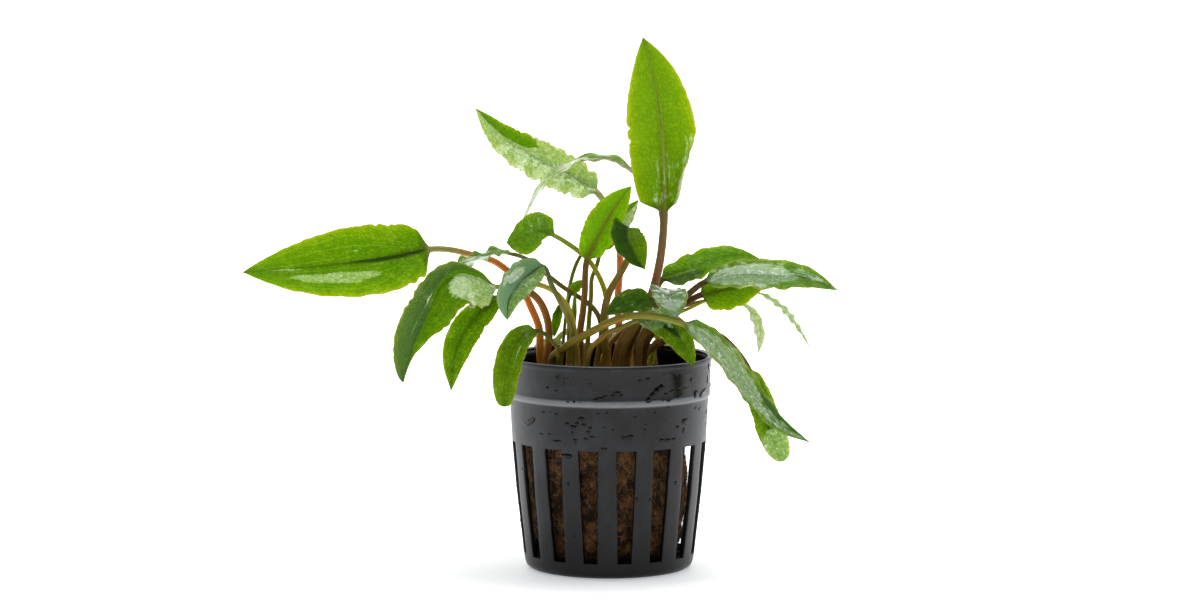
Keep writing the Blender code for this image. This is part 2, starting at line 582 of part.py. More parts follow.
    make_leaf(
        "leaf_grey_front",
        stalk=[(7.2, -8, 41), (7.2, -8, 45.2), (7.8, -9, 58.1), (10.5, -10.5, 63.7),
               (12.5, -12, 68.3)],
        blade=[(13.7, -15, 71.1), (14.3, -19, 71.3), (15, -22.5, 70.2), (15.7, -25.5, 68.3),
               (16.1, -28, 65.7)],
        across=[(0.9, -0.1, -0.1), (0.9, -0.3, -0.2), (0.9, -0.3, -0.2)],
        widths=(3.4, 4.4), fold=12, curl=0, stalk_radii=(0.9, 0.7),
        widest=0.45, base_power=(0.4, 0.4), tip_power=0.7,
        colour=(0.14, 0.24, 0.12))
    make_leaf(
        "leaf_front_drop",
        stalk=[(-6, -15, 41), (-6, -15, 45.2), (-4.7, -15.6, 56.4), (-2.8, -16, 58.6),
               (-0.3, -16.4, 60.7), (2.9, -17, 62.1)],
        blade=[(6.8, -18, 63.8), (10.9, -18.6, 64.1), (15.1, -19, 62.2), (18.3, -19.2, 58),
               (20.7, -19.4, 52.9)],
        across=[(0.4, 0.5, 0.7), (0.6, 0.3, 0.7), (0.85, 0.2, 0.4)],
        widths=(3.4, 3.8), fold=10, curl=0, stalk_radii=(0.8, 0.6),
        widest=0.42, base_power=(0.45, 0.45), tip_power=0.85,
        colour=(0.09, 0.24, 0.04))
    make_leaf(
        "leaf_pale_behind",
        stalk=[(-5.8, 1.2, 41), (-5.8, 1.2, 45.2), (-5, 1.4, 61.9), (-4.5, 1.6, 67.9),
               (-4.3, 2, 72.3), (-3, 2.2, 75.6)],
        blade=[(-2, 2.6, 79.3), (0, 3, 82), (2.2, 3.4, 85), (4.7, 3.8, 88.2), (7.2, 4.2, 91.6)],
        across=[(0.75, 0.3, -0.45), (0.75, 0.3, -0.45), (0.75, 0.3, -0.45)],
        widths=(2.8, 2.8), fold=8, curl=0, stalk_radii=(0.7, 0.5),
        widest=0.42, base_power=(0.45, 0.45), tip_power=0.9, rings=(5, 6),
        colour=(0.22, 0.40, 0.12))
    make_leaf(
        "leaf_tiny_droop",
        stalk=[(-9.6, 4.6, 41), (-9.6, 4.6, 45.2), (-9.3, 4.8, 56.5), (-9.5, 5, 61),
               (-10, 5.2, 64.7), (-11, 5.4, 66.2)],
        blade=[(-12, 5.6, 65.4), (-12.7, 5.8, 63.7), (-13.2, 6, 61.6), (-13.5, 6.2, 59.6),
               (-13.8, 6.4, 57)],
        across=[(0.9, 0.3, 0), (0.9, 0.3, 0), (0.9, 0.3, 0)],
        widths=(1.3, 1.3), fold=8, curl=0, stalk_radii=(0.6, 0.45),
        widest=0.45, base_power=(0.5, 0.5), tip_power=0.9, rings=(5, 6),
        colour=(0.08, 0.20, 0.04))
    make_leaf(
        "leaf_hidden_centre",
        stalk=[(-10.4, 8.6, 41), (-10.4, 8.6, 45.2), (-10.1, 8.8, 59.8), (-10.3, 9, 66.1),
               (-9.5, 9.2, 71.1), (-8.3, 9.4, 74.9), (-7, 9.6, 77.4)],
        blade=[(-5.8, 9.8, 79.4), (-4.3, 10.2, 82.1), (-2.5, 10.6, 84.8), (-0.5, 11, 87.6),
               (1.5, 11.4, 90.5)],
        across=[(0.8, 0.3, -0.5), (0.8, 0.3, -0.5), (0.8, 0.3, -0.5)],
        widths=(2.8, 2.8), fold=8, curl=0, stalk_radii=(0.6, 0.45),
        widest=0.42, base_power=(0.5, 0.5), tip_power=0.9, rings=(5, 6),
        colour=(0.12, 0.30, 0.03))
    make_leaf(
        "leaf_sprout",
        stalk=[(-12.4, 1.6, 41), (-12.4, 1.6, 45.2), (-11.3, 1.6, 58.1), (-10.8, 1.5, 63.1),
               (-10.2, 1.4, 66.4)],
        blade=[(-9.5, 1.2, 68.4), (-8.8, 1, 69.4), (-7.9, 0.8, 70.5), (-7, 0.6, 71.2),
               (-6, 0.4, 71.9)],
        across=[(0.6, 0.3, -0.7), (0.6, 0.3, -0.7), (0.6, 0.3, -0.7)],
        widths=(1.4, 1.4), fold=8, curl=0, stalk_radii=(0.5, 0.35),
        widest=0.42, base_power=(0.5, 0.5), tip_power=0.9, rings=(5, 6),
        colour=(0.12, 0.32, 0.02))
    make_leaf(
        "leaf_spear",
        stalk=[(-9.2, -7, 41), (-9.2, -7, 45.2), (-9, -7, 56.6)],
        blade=[(-8.8, -7, 60.1), (-8.7, -7, 62.6), (-8.6, -7, 65.1), (-8.5, -7, 67.6),
               (-8.3, -7, 70.5)],
        across=[(1, 0.2, 0), (1, 0.2, 0), (1, 0.2, 0)],
        widths=(0.75, 0.75), fold=24, curl=0, stalk_radii=(0.6, 0.55),
        widest=0.4, base_power=(0.5, 0.5), tip_power=0.9, rings=(5, 6),
        colour=(0.20, 0.45, 0.02))
    make_leaf(
        "leaf_back_left",
        stalk=[(-5.6, 11.6, 41), (-5.6, 11.6, 45.2), (-6.2, 15, 50), (-7.5, 20, 55),
               (-9.5, 26, 56.4)],
        blade=[(-13, 31.5, 53.8), (-15.5, 36, 47.5), (-17, 38.5, 40), (-18, 39.5, 31),
               (-18.5, 39, 22)],
        across=[(-0.9, -0.2, 0.1), (-0.95, -0.2, 0.1), (-0.95, -0.2, 0)],
        widths=(6.2, 6.2), fold=8, curl=0, stalk_radii=(1, 0.75),
        widest=0.42, base_power=(0.42, 0.42), tip_power=0.95,
        colour=(0.10, 0.27, 0.03))
    make_leaf(
        "leaf_back_middle",
        stalk=[(-0.6, 14, 41), (-0.6, 14, 45.2), (-0.4, 17, 50), (0, 21.5, 54.8), (0.6, 27, 56)],
        blade=[(1.6, 32.5, 53), (3, 37, 46), (3.5, 39.5, 37), (4, 40, 28), (4.5, 39, 18)],
        across=[(-0.98, 0.1, 0), (-0.98, 0.1, 0), (-0.98, 0.1, 0)],
        widths=(6.6, 6.6), fold=8, curl=0, stalk_radii=(1, 0.75),
        widest=0.42, base_power=(0.42, 0.42), tip_power=0.95,
        colour=(0.11, 0.28, 0.03))
    make_leaf(
        "leaf_back_right",
        stalk=[(5.4, 13.2, 41), (5.4, 13.2, 45.2), (6, 16.5, 50), (6.8, 21, 55), (9, 26.5, 56.6)],
        blade=[(12.5, 31, 54), (15.5, 35, 48), (17, 37.5, 40), (18, 38.5, 31), (18.5, 38, 23)],
        across=[(-0.85, 0.5, 0), (-0.85, 0.5, 0), (-0.85, 0.5, 0)],
        widths=(5.2, 5.2), fold=8, curl=0, stalk_radii=(1, 0.75),
        widest=0.42, base_power=(0.42, 0.42), tip_power=0.95,
        colour=(0.12, 0.29, 0.03))
    make_leaf(
        "sheath_scrap",
        stalk=[(10.6, -5.6, 41), (10.6, -5.6, 44.6), (10.4, -5.8, 48.5)],
        blade=[(10.2, -6, 51), (10.3, -6.2, 52.2), (10.6, -6.4, 53.4), (10.9, -6.4, 54.6)],
        across=[(0.9, 0.3, 0), (0.9, 0.3, 0)],
        widths=(0.9, 0.9), fold=12, curl=0, stalk_radii=(0.6, 0.5),
        widest=0.5, base_power=(0.5, 0.5), tip_power=0.7, rings=(4, 6),
        colour=(0.4, 0.38, 0.08))


make_leaves()
make_stub()
make_slot_scrap()
make_wool()
make_pot()
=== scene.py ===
import math
import random

import bmesh
import bpy
from mathutils import Matrix, Vector, noise


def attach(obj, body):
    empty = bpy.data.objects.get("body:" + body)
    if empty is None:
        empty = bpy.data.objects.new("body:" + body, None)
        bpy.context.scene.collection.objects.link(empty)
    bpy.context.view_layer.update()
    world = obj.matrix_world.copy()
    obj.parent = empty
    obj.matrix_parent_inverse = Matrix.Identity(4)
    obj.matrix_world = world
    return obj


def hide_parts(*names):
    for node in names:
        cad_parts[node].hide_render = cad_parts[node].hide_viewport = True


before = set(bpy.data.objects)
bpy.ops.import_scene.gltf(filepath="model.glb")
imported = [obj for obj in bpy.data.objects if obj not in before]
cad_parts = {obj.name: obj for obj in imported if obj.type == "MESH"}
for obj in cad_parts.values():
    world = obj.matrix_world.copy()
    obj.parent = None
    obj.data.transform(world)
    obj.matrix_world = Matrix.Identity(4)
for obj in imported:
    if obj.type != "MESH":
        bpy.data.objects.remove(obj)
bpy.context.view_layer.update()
mm = 0.001  # every length below is in millimetres until it goes into a mesh
print("frame loaded:", len(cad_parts), "nodes")


# ---- shader helpers ----

class Wire:
    # one output socket; sums and products on it add Math nodes
    def __init__(self, finish, socket):
        self.finish = finish
        self.socket = socket

    def maths(self, operation, *others):
        return self.finish.node("ShaderNodeMath", {"operation": operation}, 0, self, *others)

    def __add__(self, other):
        return self.maths("ADD", other)

    __radd__ = __add__

    def __mul__(self, other):
        return self.maths("MULTIPLY", other)

    __rmul__ = __mul__

    def __sub__(self, other):
        return self.maths("SUBTRACT", other)

    def __rsub__(self, other):
        return self.finish.node("ShaderNodeMath", {"operation": "SUBTRACT"}, 0, other, self)

    def __truediv__(self, other):
        return self.maths("DIVIDE", other)

    def __pow__(self, other):
        return self.maths("POWER", other)

    def clamped(self):
        return self.finish.node("ShaderNodeClamp", {}, 0, self)

    def band(self, low, high):
        # 0 below low, 1 above high, smooth between; low may be the larger one
        return self.finish.node("ShaderNodeMapRange", {"interpolation_type": "SMOOTHSTEP"}, 0, self, low, high)


class Finish:
    # one node material, built by calls
    def __init__(self, name):
        self.material = bpy.data.materials.new(name)
        self.material.use_nodes = True
        self.tree = self.material.node_tree
        self.shader = self.tree.nodes["Principled BSDF"]

    def node(self, kind, settings, output, *values, **named):
        made = self.tree.nodes.new(kind)
        for key, value in settings.items():
            if key == "stops":
                ramp = made.color_ramp
                while len(ramp.elements) < len(value):
                    ramp.elements.new(0.5)
                for element, (place, colour) in zip(ramp.elements, value):
                    element.position = place
                    element.color = (*colour, 1.0)
            else:
                setattr(made, key, value)
        for index, value in enumerate(values):
            self.feed(made.inputs[index], value)
        for key, value in named.items():
            self.feed(made.inputs[key], value)
        return Wire(self, made.outputs[output])

    def feed(self, socket, value):
        if isinstance(value, Wire):
            self.tree.links.new(value.socket, socket)
        elif value is not None:
            if hasattr(socket.default_value, "__len__") and len(socket.default_value) == 4 and len(value) == 3:
                value = (*value, 1.0)
            socket.default_value = value

    def place(self, scale=(1.0, 1.0, 1.0)):
        coordinates = self.node("ShaderNodeTexCoord", {}, "Object")
        return self.node("ShaderNodeMapping", {}, 0, Vector=coordinates, Scale=tuple(1 / mm * s for s in scale))

    def grain(self, scale, detail=3.0, rough=0.55, stretch=(1.0, 1.0, 1.0), twist=0.0):
        # noise of about `scale` mm
        return self.node("ShaderNodeTexNoise", {}, 0, Vector=self.place(stretch), Scale=1 / scale,
                         Detail=detail, Roughness=rough, Distortion=twist)

    def cells(self, scale, stretch=(1.0, 1.0, 1.0), feature="F1", wander=1.0):
        return self.node("ShaderNodeTexVoronoi", {"feature": feature}, "Distance",
                         Vector=self.place(stretch), Scale=1 / scale, Randomness=wander)

    def blend(self, share, first, second, how="MIX"):
        made = self.tree.nodes.new("ShaderNodeMix")
        made.data_type = "RGBA"
        made.blend_type = how
        self.feed(made.inputs[0], share)
        self.feed(made.inputs[6], first)
        self.feed(made.inputs[7], second)
        return Wire(self, made.outputs[2])

    def bumps(self, *layers):
        # layers of (height wire, distance in mm, strength)
        normal = None
        for height, distance, strength in layers:
            normal = self.node("ShaderNodeBump", {}, 0, Strength=strength, Distance=distance * mm,
                               Height=height, Normal=normal)
        return normal

    def close(self, **sockets):
        for key, value in sockets.items():
            self.feed(self.shader.inputs[key.replace("_", " ")], value)
        return self.material


# ---- mesh helpers ----

def putInScene(bm, name, material, nodes=(), smooth=True):
    mesh = bpy.data.meshes.new(name)
    bm.to_mesh(mesh)
    bm.free()
    piece = bpy.data.objects.new(name, mesh)
    bpy.context.scene.collection.objects.link(piece)
    mesh.materials.append(material)
    for face in mesh.polygons:
        face.use_smooth = smooth
    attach(piece, "root")
    if nodes:
        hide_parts(*nodes)
    return piece


def smoothCurve(points, steps):
    # the same rounded curve through given points that the solids follow
    given = [Vector(point) for point in points]
    given = [given[0] * 2 - given[1]] + given + [given[-1] * 2 - given[-2]]
    curve = []
    for i in range(1, len(given) - 2):
        before, start, end, after = given[i - 1:i + 3]
        gapBefore = max((start - before).length ** 0.5, 1e-6)
        gap = max((end - start).length ** 0.5, 1e-6)
        gapAfter = max((after - end).length ** 0.5, 1e-6)
        leaving = ((start - before) / gapBefore - (end - before) / (gapBefore + gap) + (end - start) / gap) * gap
        reaching = ((end - start) / gap - (after - start) / (gap + gapAfter) + (after - end) / gapAfter) * gap
        for j in range(steps):
            t = j / steps
            curve.append(start * (2 * t ** 3 - 3 * t * t + 1) + leaving * (t ** 3 - 2 * t * t + t)
                         + end * (3 * t * t - 2 * t ** 3) + reaching * (t ** 3 - t * t))
    curve.append(given[-2])
    return curve


class Path:
    # a smooth curve that can be asked for its point and direction at a distance
    def __init__(self, points, steps=24):
        self.points = smoothCurve(points, steps)
        self.lengths = [0.0]
        for a, b in zip(self.points, self.points[1:]):
            self.lengths.append(self.lengths[-1] + (b - a).length)
        last = len(self.points) - 1
        self.headings = [(self.points[min(i + 1, last)] - self.points[max(i - 1, 0)]).normalized()
                         for i in range(last + 1)]
        self.cursor = 1

    def at(self, distance, values):
        i = self.cursor
        while i > 1 and self.lengths[i - 1] > distance:
            i -= 1
        while i < len(self.lengths) - 1 and self.lengths[i] < distance:
            i += 1
        self.cursor = i
        share = (distance - self.lengths[i - 1]) / max(self.lengths[i] - self.lengths[i - 1], 1e-9)
        return values[i - 1].lerp(values[i], min(max(share, 0.0), 1.0))


def squareTo(vector, direction):
    return (vector - direction * vector.dot(direction)).normalized()


def smoothStep(x):
    x = min(max(x, 0.0), 1.0)
    return x * x * (3 - 2 * x)


# a grid of faces wrapped into a closed skin; place(i, j) says where its points go
def wrapGrid(columns, rows, place, touches=None, tolerance=0.0004):
    bm = bmesh.new()
    bmesh.ops.create_grid(bm, x_segments=columns, y_segments=rows, size=1.0, calc_uvs=True)
    layers = {key: bm.verts.layers.float_color.new(key) for key in (touches or ())}
    for vert in bm.verts:
        i = round((vert.co.x + 1) / 2 * columns)
        j = round((vert.co.y + 1) / 2 * rows)
        for key, layer in layers.items():
            vert[layer] = touches[key](i, j)
        vert.co = place(i, j) * mm
    seam = [vert for vert in bm.verts if vert.is_boundary]
    bmesh.ops.remove_doubles(bm, verts=seam, dist=tolerance * mm)
    return bm


def closeSkin(bm):
    filled = bmesh.ops.holes_fill(bm, edges=bm.edges, sides=0)["faces"]
    if len(filled) > 2:
        print("  odd caps:", len(filled))
    bmesh.ops.dissolve_degenerate(bm, edges=bm.edges, dist=0.00005 * mm)
    bmesh.ops.recalc_face_normals(bm, faces=bm.faces)


# share of the full half width at a place between the blade's base (0) and its tip (1)
def outline(place, widest, basePower, tipPower):
    if place < widest:
        return max(0.0, 1 - (1 - place / widest) ** 2) ** basePower
    return max(0.0, 1 - ((place - widest) / (1 - widest)) ** 2) ** tipPower


def inPatch(patches, along, across):
    # patches: (along, across, reach along, reach across, strength); a negative one clears what is under it
    most = least = 0.0
    for a, c, reachA, reachC, strength in patches:
        away = math.hypot((along - a) / reachA, (across - c) / reachC)
        here = strength * (1 - smoothStep((away - 0.45) / 0.9))
        most, least = max(most, here), min(least, here)
    return max(most + least, 0.0)


leafUsual = {
    "ruffle": (0.3, 0.3, 5),      # height of each side in mm, then waves along the margin
    "teeth": (0.025, 0.025, 17),  # fine scallops of each side, then how many
    "quilt": 0.07,           # puffs between the veins, mm
    "channels": 0.03,        # folds along the side veins, mm
    "thick": 0.17,
    "rolls": (),             # (side, along, reach, from this share outward, degrees)
    "bites": (),             # (side, along, reach, depth as a share of the half width)
    "wetSheenPatches": (), "shades": (),  # wet patches with a painted pale sheen, or dry ones that clear it; dark patches, mostly painted shade
    "bend": 0,
    "slotName": "leaf_green",
}


def leafMesh(leaf):
    stalk, blade = leaf["stalk"], leaf["blade"]
    path = Path(stalk + blade)
    foot = path.lengths[24 * len(stalk)]
    span = path.lengths[-1] - foot
    stalkSteps = max(12, int(foot / 0.9))
    bladeSteps = int(min(176, max(40, span / 0.3)))
    half = leaf.get("half", 26)
    ring = 2 * half
    seed = sum(ord(letter) for letter in leaf["name"]) * 1.37
    across = leaf["across"]

    stations = []
    for j in range(stalkSteps + bladeSteps + 1):
        place = (j - stalkSteps) / bladeSteps
        distance = foot * j / stalkSteps if j < stalkSteps else foot + span * place
        stations.append([distance, max(place, 0.0)])
    for station in reversed(stations):
        distance, place = station
        centre = path.at(distance, path.points)
        heading = path.at(distance, path.headings).normalized()
        if distance >= foot:
            x = place * (len(across) - 1)
            i = min(int(x), len(across) - 2)
            side = squareTo(Vector(across[i]).lerp(Vector(across[i + 1]), x - i), heading)
        else:
            side = squareTo(side, heading)
        station += [centre, side, heading.cross(side)]

    spread = [0.6 * math.cos(math.pi * i / half) + 0.4 * (1 - 2 * i / half) for i in range(half + 1)]
    middle = half // 2
    rows = []
    for j, (distance, place, centre, side, up) in enumerate(stations):
        share = smoothStep(place / 0.07)
        radius = leaf["radii"][0] + (leaf["radii"][1] - leaf["radii"][0]) * min(distance / foot, 1.0)
        rib = radius * (1 - 0.8 * place ** 0.55)
        flare = 1 + 0.25 * max(0.0, 1 - (distance / 7.0)) ** 2
        stem = []
        for i in range(ring + 1):
            angle = 2 * math.pi * i / ring
            bumpy = noise.noise(Vector((math.cos(angle) + seed, distance * 0.3, math.sin(angle))))
            ribbing = 1 + 0.04 * math.sin(5 * angle + seed) + 0.04 * bumpy
            stem.append((side * math.cos(angle) + up * math.sin(angle) * 0.92) * max(rib, 0.1) * flare * ribbing)
        if share <= 0:
            rows.append([centre + offset for offset in stem])
            continue
        middles, leans = [Vector()] * (half + 1), [0.0] * (half + 1)
        for sign, index in ((1, 0), (-1, 1)):
            width = leaf["widths"][index] * outline(place, leaf["widest"][index], leaf["basePower"][index],
                                                    leaf["tipPower"][index])
            amount, count = leaf["teeth"][index], leaf["teeth"][2]
            ripple = noise.noise(Vector((place * count * 1.9, seed + 9 * sign, 0)))
            width *= 1 + amount * (1.6 * ripple + abs(math.sin(math.pi * count * place + sign))) * (1 - place ** 4)
            for where, at, reach, depth in leaf["bites"]:
                if where == sign:
                    width *= 1 - depth * max(0.0, 1 - ((place - at) / reach) ** 2) ** 2
            height, waves = leaf["ruffle"][index], leaf["ruffle"][2]
            height *= math.sin(math.pi * min(place * 1.15, 1)) ** 0.6
            wave = (math.sin(2 * math.pi * waves * place + 2.1 * sign + seed)
                    + 0.8 * noise.noise(Vector((place * waves * 2.3, seed, sign))))
            roll = 0.0
            start = 0.5
            for where, at, reach, inner, degrees in leaf["rolls"]:
                if where == sign:
                    more = math.radians(degrees) * (1 - smoothStep(abs(place - at) / reach))
                    if abs(more) > abs(roll):
                        roll, start = more, inner
            spot = Vector()
            last = 0.0
            order = range(middle, -1, -1) if sign > 0 else range(middle, half + 1)
            for i in order:
                t = abs(spread[i])
                mid = (t + last) / 2
                lean = math.radians(leaf["fold"]) + leaf["bend"] * mid + roll * smoothStep((mid - start) / (1 - start))
                spot = spot + (side * sign * math.cos(lean) + up * math.sin(lean)) * width * (t - last)
                last = t
                lift = leaf["curl"] * width * t + height * wave * t ** 2.6
                lift += leaf["channels"] * math.cos(2 * math.pi * 3.1 * t) * math.sin(math.pi * min(place * 1.3, 1))
                lift += leaf["quilt"] * noise.noise(Vector((t * width * sign, place * span, seed)) * 0.75)
                outward = up * math.cos(lean) - side * sign * math.sin(lean)
                middles[i] = spot + outward * lift
                leans[i] = (outward, width)
        body = [None] * (ring + 1)
        for i in range(half + 1):
            outward, width = leans[i]
            t = spread[i]
            fat = leaf["thick"] * (1 - 0.45 * abs(t)) * math.sqrt(max(0.0, 1 - t ** 6))
            off = abs(t) * width
            groove = 0.16 * math.exp(-(off / 0.45) ** 2) * (1 - place)
            ridge = (rib * 1.25 - fat) * math.exp(-(off / (rib * 0.75 + 0.12)) ** 2)
            body[i] = middles[i] + outward * (fat * 0.5 - groove)
            body[ring - i] = middles[i] - outward * (fat * 0.5 + max(0.0, ridge))
        body[0] = body[ring] = middles[0]
        body[half] = middles[half]
        if place >= 1:
            share = 0.0
        rows.append([centre + a.lerp(b, share) for a, b in zip(stem, body)])

    def acrossOf(i):
        return spread[i if i <= half else ring - i]

    def parts(i, j):
        place = stations[j][1]
        return (acrossOf(i) * 0.5 + 0.5, place, smoothStep(place / 0.05), 1.0 if i <= half else 0.0)

    def touch(i, j):
        distance, place = stations[j][:2]
        if place <= 0:
            return (0.0, 0.0, distance / foot, 1.0)
        return (inPatch(leaf["wetSheenPatches"], place, acrossOf(i)), inPatch(leaf["shades"], place, acrossOf(i)), 1.0, 1.0)

    bm = wrapGrid(ring, len(stations) - 1, lambda i, j: rows[j][i], {"leafParts": parts, "leafTouch": touch})
    closeSkin(bm)
    return bm, span


def paint(red, green, blue):
    # a colour as 0 to 255 on screen, made linear
    return tuple((c / 255 / 12.92) if c < 11 else ((c / 255 + 0.055) / 1.055) ** 2.4 for c in (red, green, blue))


lookUsual = {
    "top": (104, 142, 8), "deep": (70, 104, 6), "light": (136, 166, 24), "under": (122, 150, 60),
    "rib": (112, 120, 44), "margin": (150, 130, 50), "wetSheen": (186, 205, 156), "dark": (52, 72, 22),
    "foot": (104, 80, 18), "middle": (124, 94, 32), "neck": (124, 132, 34), "stripe": (214, 172, 96),
    "vein": (136, 164, 50),
    "veins": 0.35, "net": 0.45, "wet": 0.35, "rough": 0.34, "glow": 0.35, "filmRough": 0.16, "ribShow": 0.25,
}


def leafFinish(name, look, width, length):
    f = Finish(name)
    colour = {key: paint(*look[key]) for key in look if isinstance(look[key], tuple)}
    parts = f.node("ShaderNodeAttribute", {"attribute_name": "leafParts"}, "Color")
    upper = f.node("ShaderNodeAttribute", {"attribute_name": "leafParts"}, "Alpha")
    touch = f.node("ShaderNodeAttribute", {"attribute_name": "leafTouch"}, "Color")
    across = f.node("ShaderNodeSeparateColor", {}, "Red", parts) * 2.0 - 1.0
    along = f.node("ShaderNodeSeparateColor", {}, "Green", parts)
    blade = f.node("ShaderNodeSeparateColor", {}, "Blue", parts)
    # red: wet patches that also carry a painted sheen; green: patches of painted shade; blue: place along the stalk
    wetSheen = f.node("ShaderNodeSeparateColor", {}, "Red", touch)
    shade = f.node("ShaderNodeSeparateColor", {}, "Green", touch)
    stalkAlong = f.node("ShaderNodeSeparateColor", {}, "Blue", touch)
    away = across.maths("ABSOLUTE")

    # side veins leave the midrib low down and run with the margin; finer veins cross between them
    wander = f.grain(4.0, 2.0)
    fan = along.band(-0.12, 0.42) * 0.95 + 0.05
    spaced = (away / fan + (wander - 0.5) * 0.12) * 3.3
    vein = (spaced.maths("FRACT") - 0.5).maths("ABSOLUTE").band(0.08, 0.01)
    vein = vein * away.band(0.05, 0.2) * away.band(1.0, 0.85)
    jitter = f.grain(0.9, 2.0) * 0.7
    sheet = f.node("ShaderNodeCombineXYZ", {}, 0, across * (width / 1.2) + along * (length * 0.3) + jitter,
                   along * (length / 1.3) + jitter, 0.0)
    netting = f.node("ShaderNodeTexVoronoi", {"feature": "DISTANCE_TO_EDGE"}, "Distance", Vector=sheet, Scale=1.0)
    net = netting.band(0.2, 0.0)
    rib = (away * width).band(0.6, 0.15)
    mottle = f.grain(2.6, 4.0)
    fine = f.grain(0.5, 3.0)

    skin = f.blend(mottle.band(0.35, 0.7), colour["top"], colour["light"])
    skin = f.blend(fine.band(0.45, 0.75) * 0.35, skin, colour["deep"])
    skin = f.blend(net * look["net"], skin, colour["deep"])
    skin = f.blend(vein * look["veins"], skin, colour["vein"])
    below = f.blend(mottle.band(0.4, 0.75) * 0.4, colour["under"], colour["light"])
    below = f.blend(net * look["net"], below, colour["deep"])
    skin = f.blend((1.0 - upper) * 0.75, skin, below)
    line = f.blend(along.band(0.0, 0.3), colour["neck"], f.blend(upper, colour["rib"], colour["deep"]))
    # the midrib line is darker on the upper face; the high ribShow values of the folded leaves paint shade in the
    # midrib crease
    skin = f.blend(rib * (look["ribShow"] + (1.0 - upper) * 0.5).clamped(), skin, line)
    # painted shade: the shades patches darken the blade toward the dark colour
    darkness = (shade + (mottle - 0.5) * 0.5).band(0.2, 0.8)
    skin = f.blend(darkness * 0.85, skin, colour["dark"])
    streak = f.node("ShaderNodeTexNoise", {}, 0, Vector=f.node("ShaderNodeCombineXYZ", {}, 0, across * (width / 0.7), along * (length / 6), 0.0),
                    Scale=1.0, Detail=4.0, Roughness=0.65)
    # wet patches: a real glossy coat, and a pale painted reflection in the base colour
    wetSheenMask = (wetSheen + (streak - 0.5) * 0.9 + (mottle - 0.5) * 0.6).band(0.42, 0.6)
    sheenTone = f.blend(streak.band(0.3, 0.62), f.blend(0.55, colour["light"], colour["wetSheen"]), colour["wetSheen"])
    glint = f.grain(1.3, 4.0, 0.7, twist=1.2)
    sheenTone = f.blend(glint.band(0.46, 0.36) * 0.55, sheenTone, colour["light"])
    # painted glints: white specks in the wet sheen
    sheenTone = f.blend(glint.band(0.55, 0.63) * 0.7, sheenTone, paint(236, 242, 232))
    skin = f.blend(wetSheenMask * (0.92 - net * 0.35), skin, sheenTone)
    edge = away.band(0.93, 0.995) * blade
    skin = f.blend(edge * 0.7, skin, colour["margin"])

    stripes = f.node("ShaderNodeTexNoise", {}, 0, Vector=f.node("ShaderNodeCombineXYZ", {}, 0, across * 5.0, stalkAlong * 5.0, upper),
                     Scale=1.0, Detail=4.0, Roughness=0.6)
    stem = f.blend(stalkAlong.band(0.0, 0.45), colour["foot"], colour["middle"])
    stem = f.blend(stalkAlong.band(0.6, 1.0), stem, colour["neck"])
    stem = f.blend(stripes.band(0.5, 0.8) * 0.5, stem, colour["stripe"])
    stem = f.blend(stripes.band(0.45, 0.2) * 0.4, stem, colour["dark"])
    stem = f.blend(stalkAlong.band(0.42, 0.1) * (0.35 + stripes * 0.5), stem, colour["stripe"])
    tone = f.blend(blade, stem, skin)

    rough = look["rough"] + (fine - 0.5) * 0.25 + net * 0.06
    rough = rough + (look["filmRough"] - rough) * wetSheenMask * blade
    wetness = (mottle.band(0.5, 0.62) * look["wet"] + wetSheenMask).clamped() * 0.9
    normal = f.bumps((netting.band(0.0, 0.35), 0.14, 0.6 * (1.0 - wetSheenMask * 0.6)), (1.0 - vein, 0.12, 0.35),
                     (fine, 0.05, 0.35), (glint, 0.3, 0.45 * wetSheenMask))
    return f.close(Base_Color=tone, Roughness=rough, Coat_Weight=wetness, Coat_Roughness=0.07, Normal=normal,
                   Subsurface_Weight=look["glow"], Subsurface_Radius=(0.7, 1.0, 0.25),
                   Subsurface_Scale=0.9 * mm, Specular_IOR_Level=0.1)


def growLeaf(name, **given):
    leaf = {**leafUsual, **given, "name": name}
    look = {**lookUsual, **leaf.get("look", {})}
    bm, length = leafMesh(leaf)
    material = leafFinish(name + "Finish", look, max(leaf["widths"]), length)
    piece = putInScene(bm, name, material, [leaf["node"]])
    print(name, len(piece.data.polygons), "faces")
    return piece


# ---- leaves: where each one runs (mm), then its shape and its finish ----

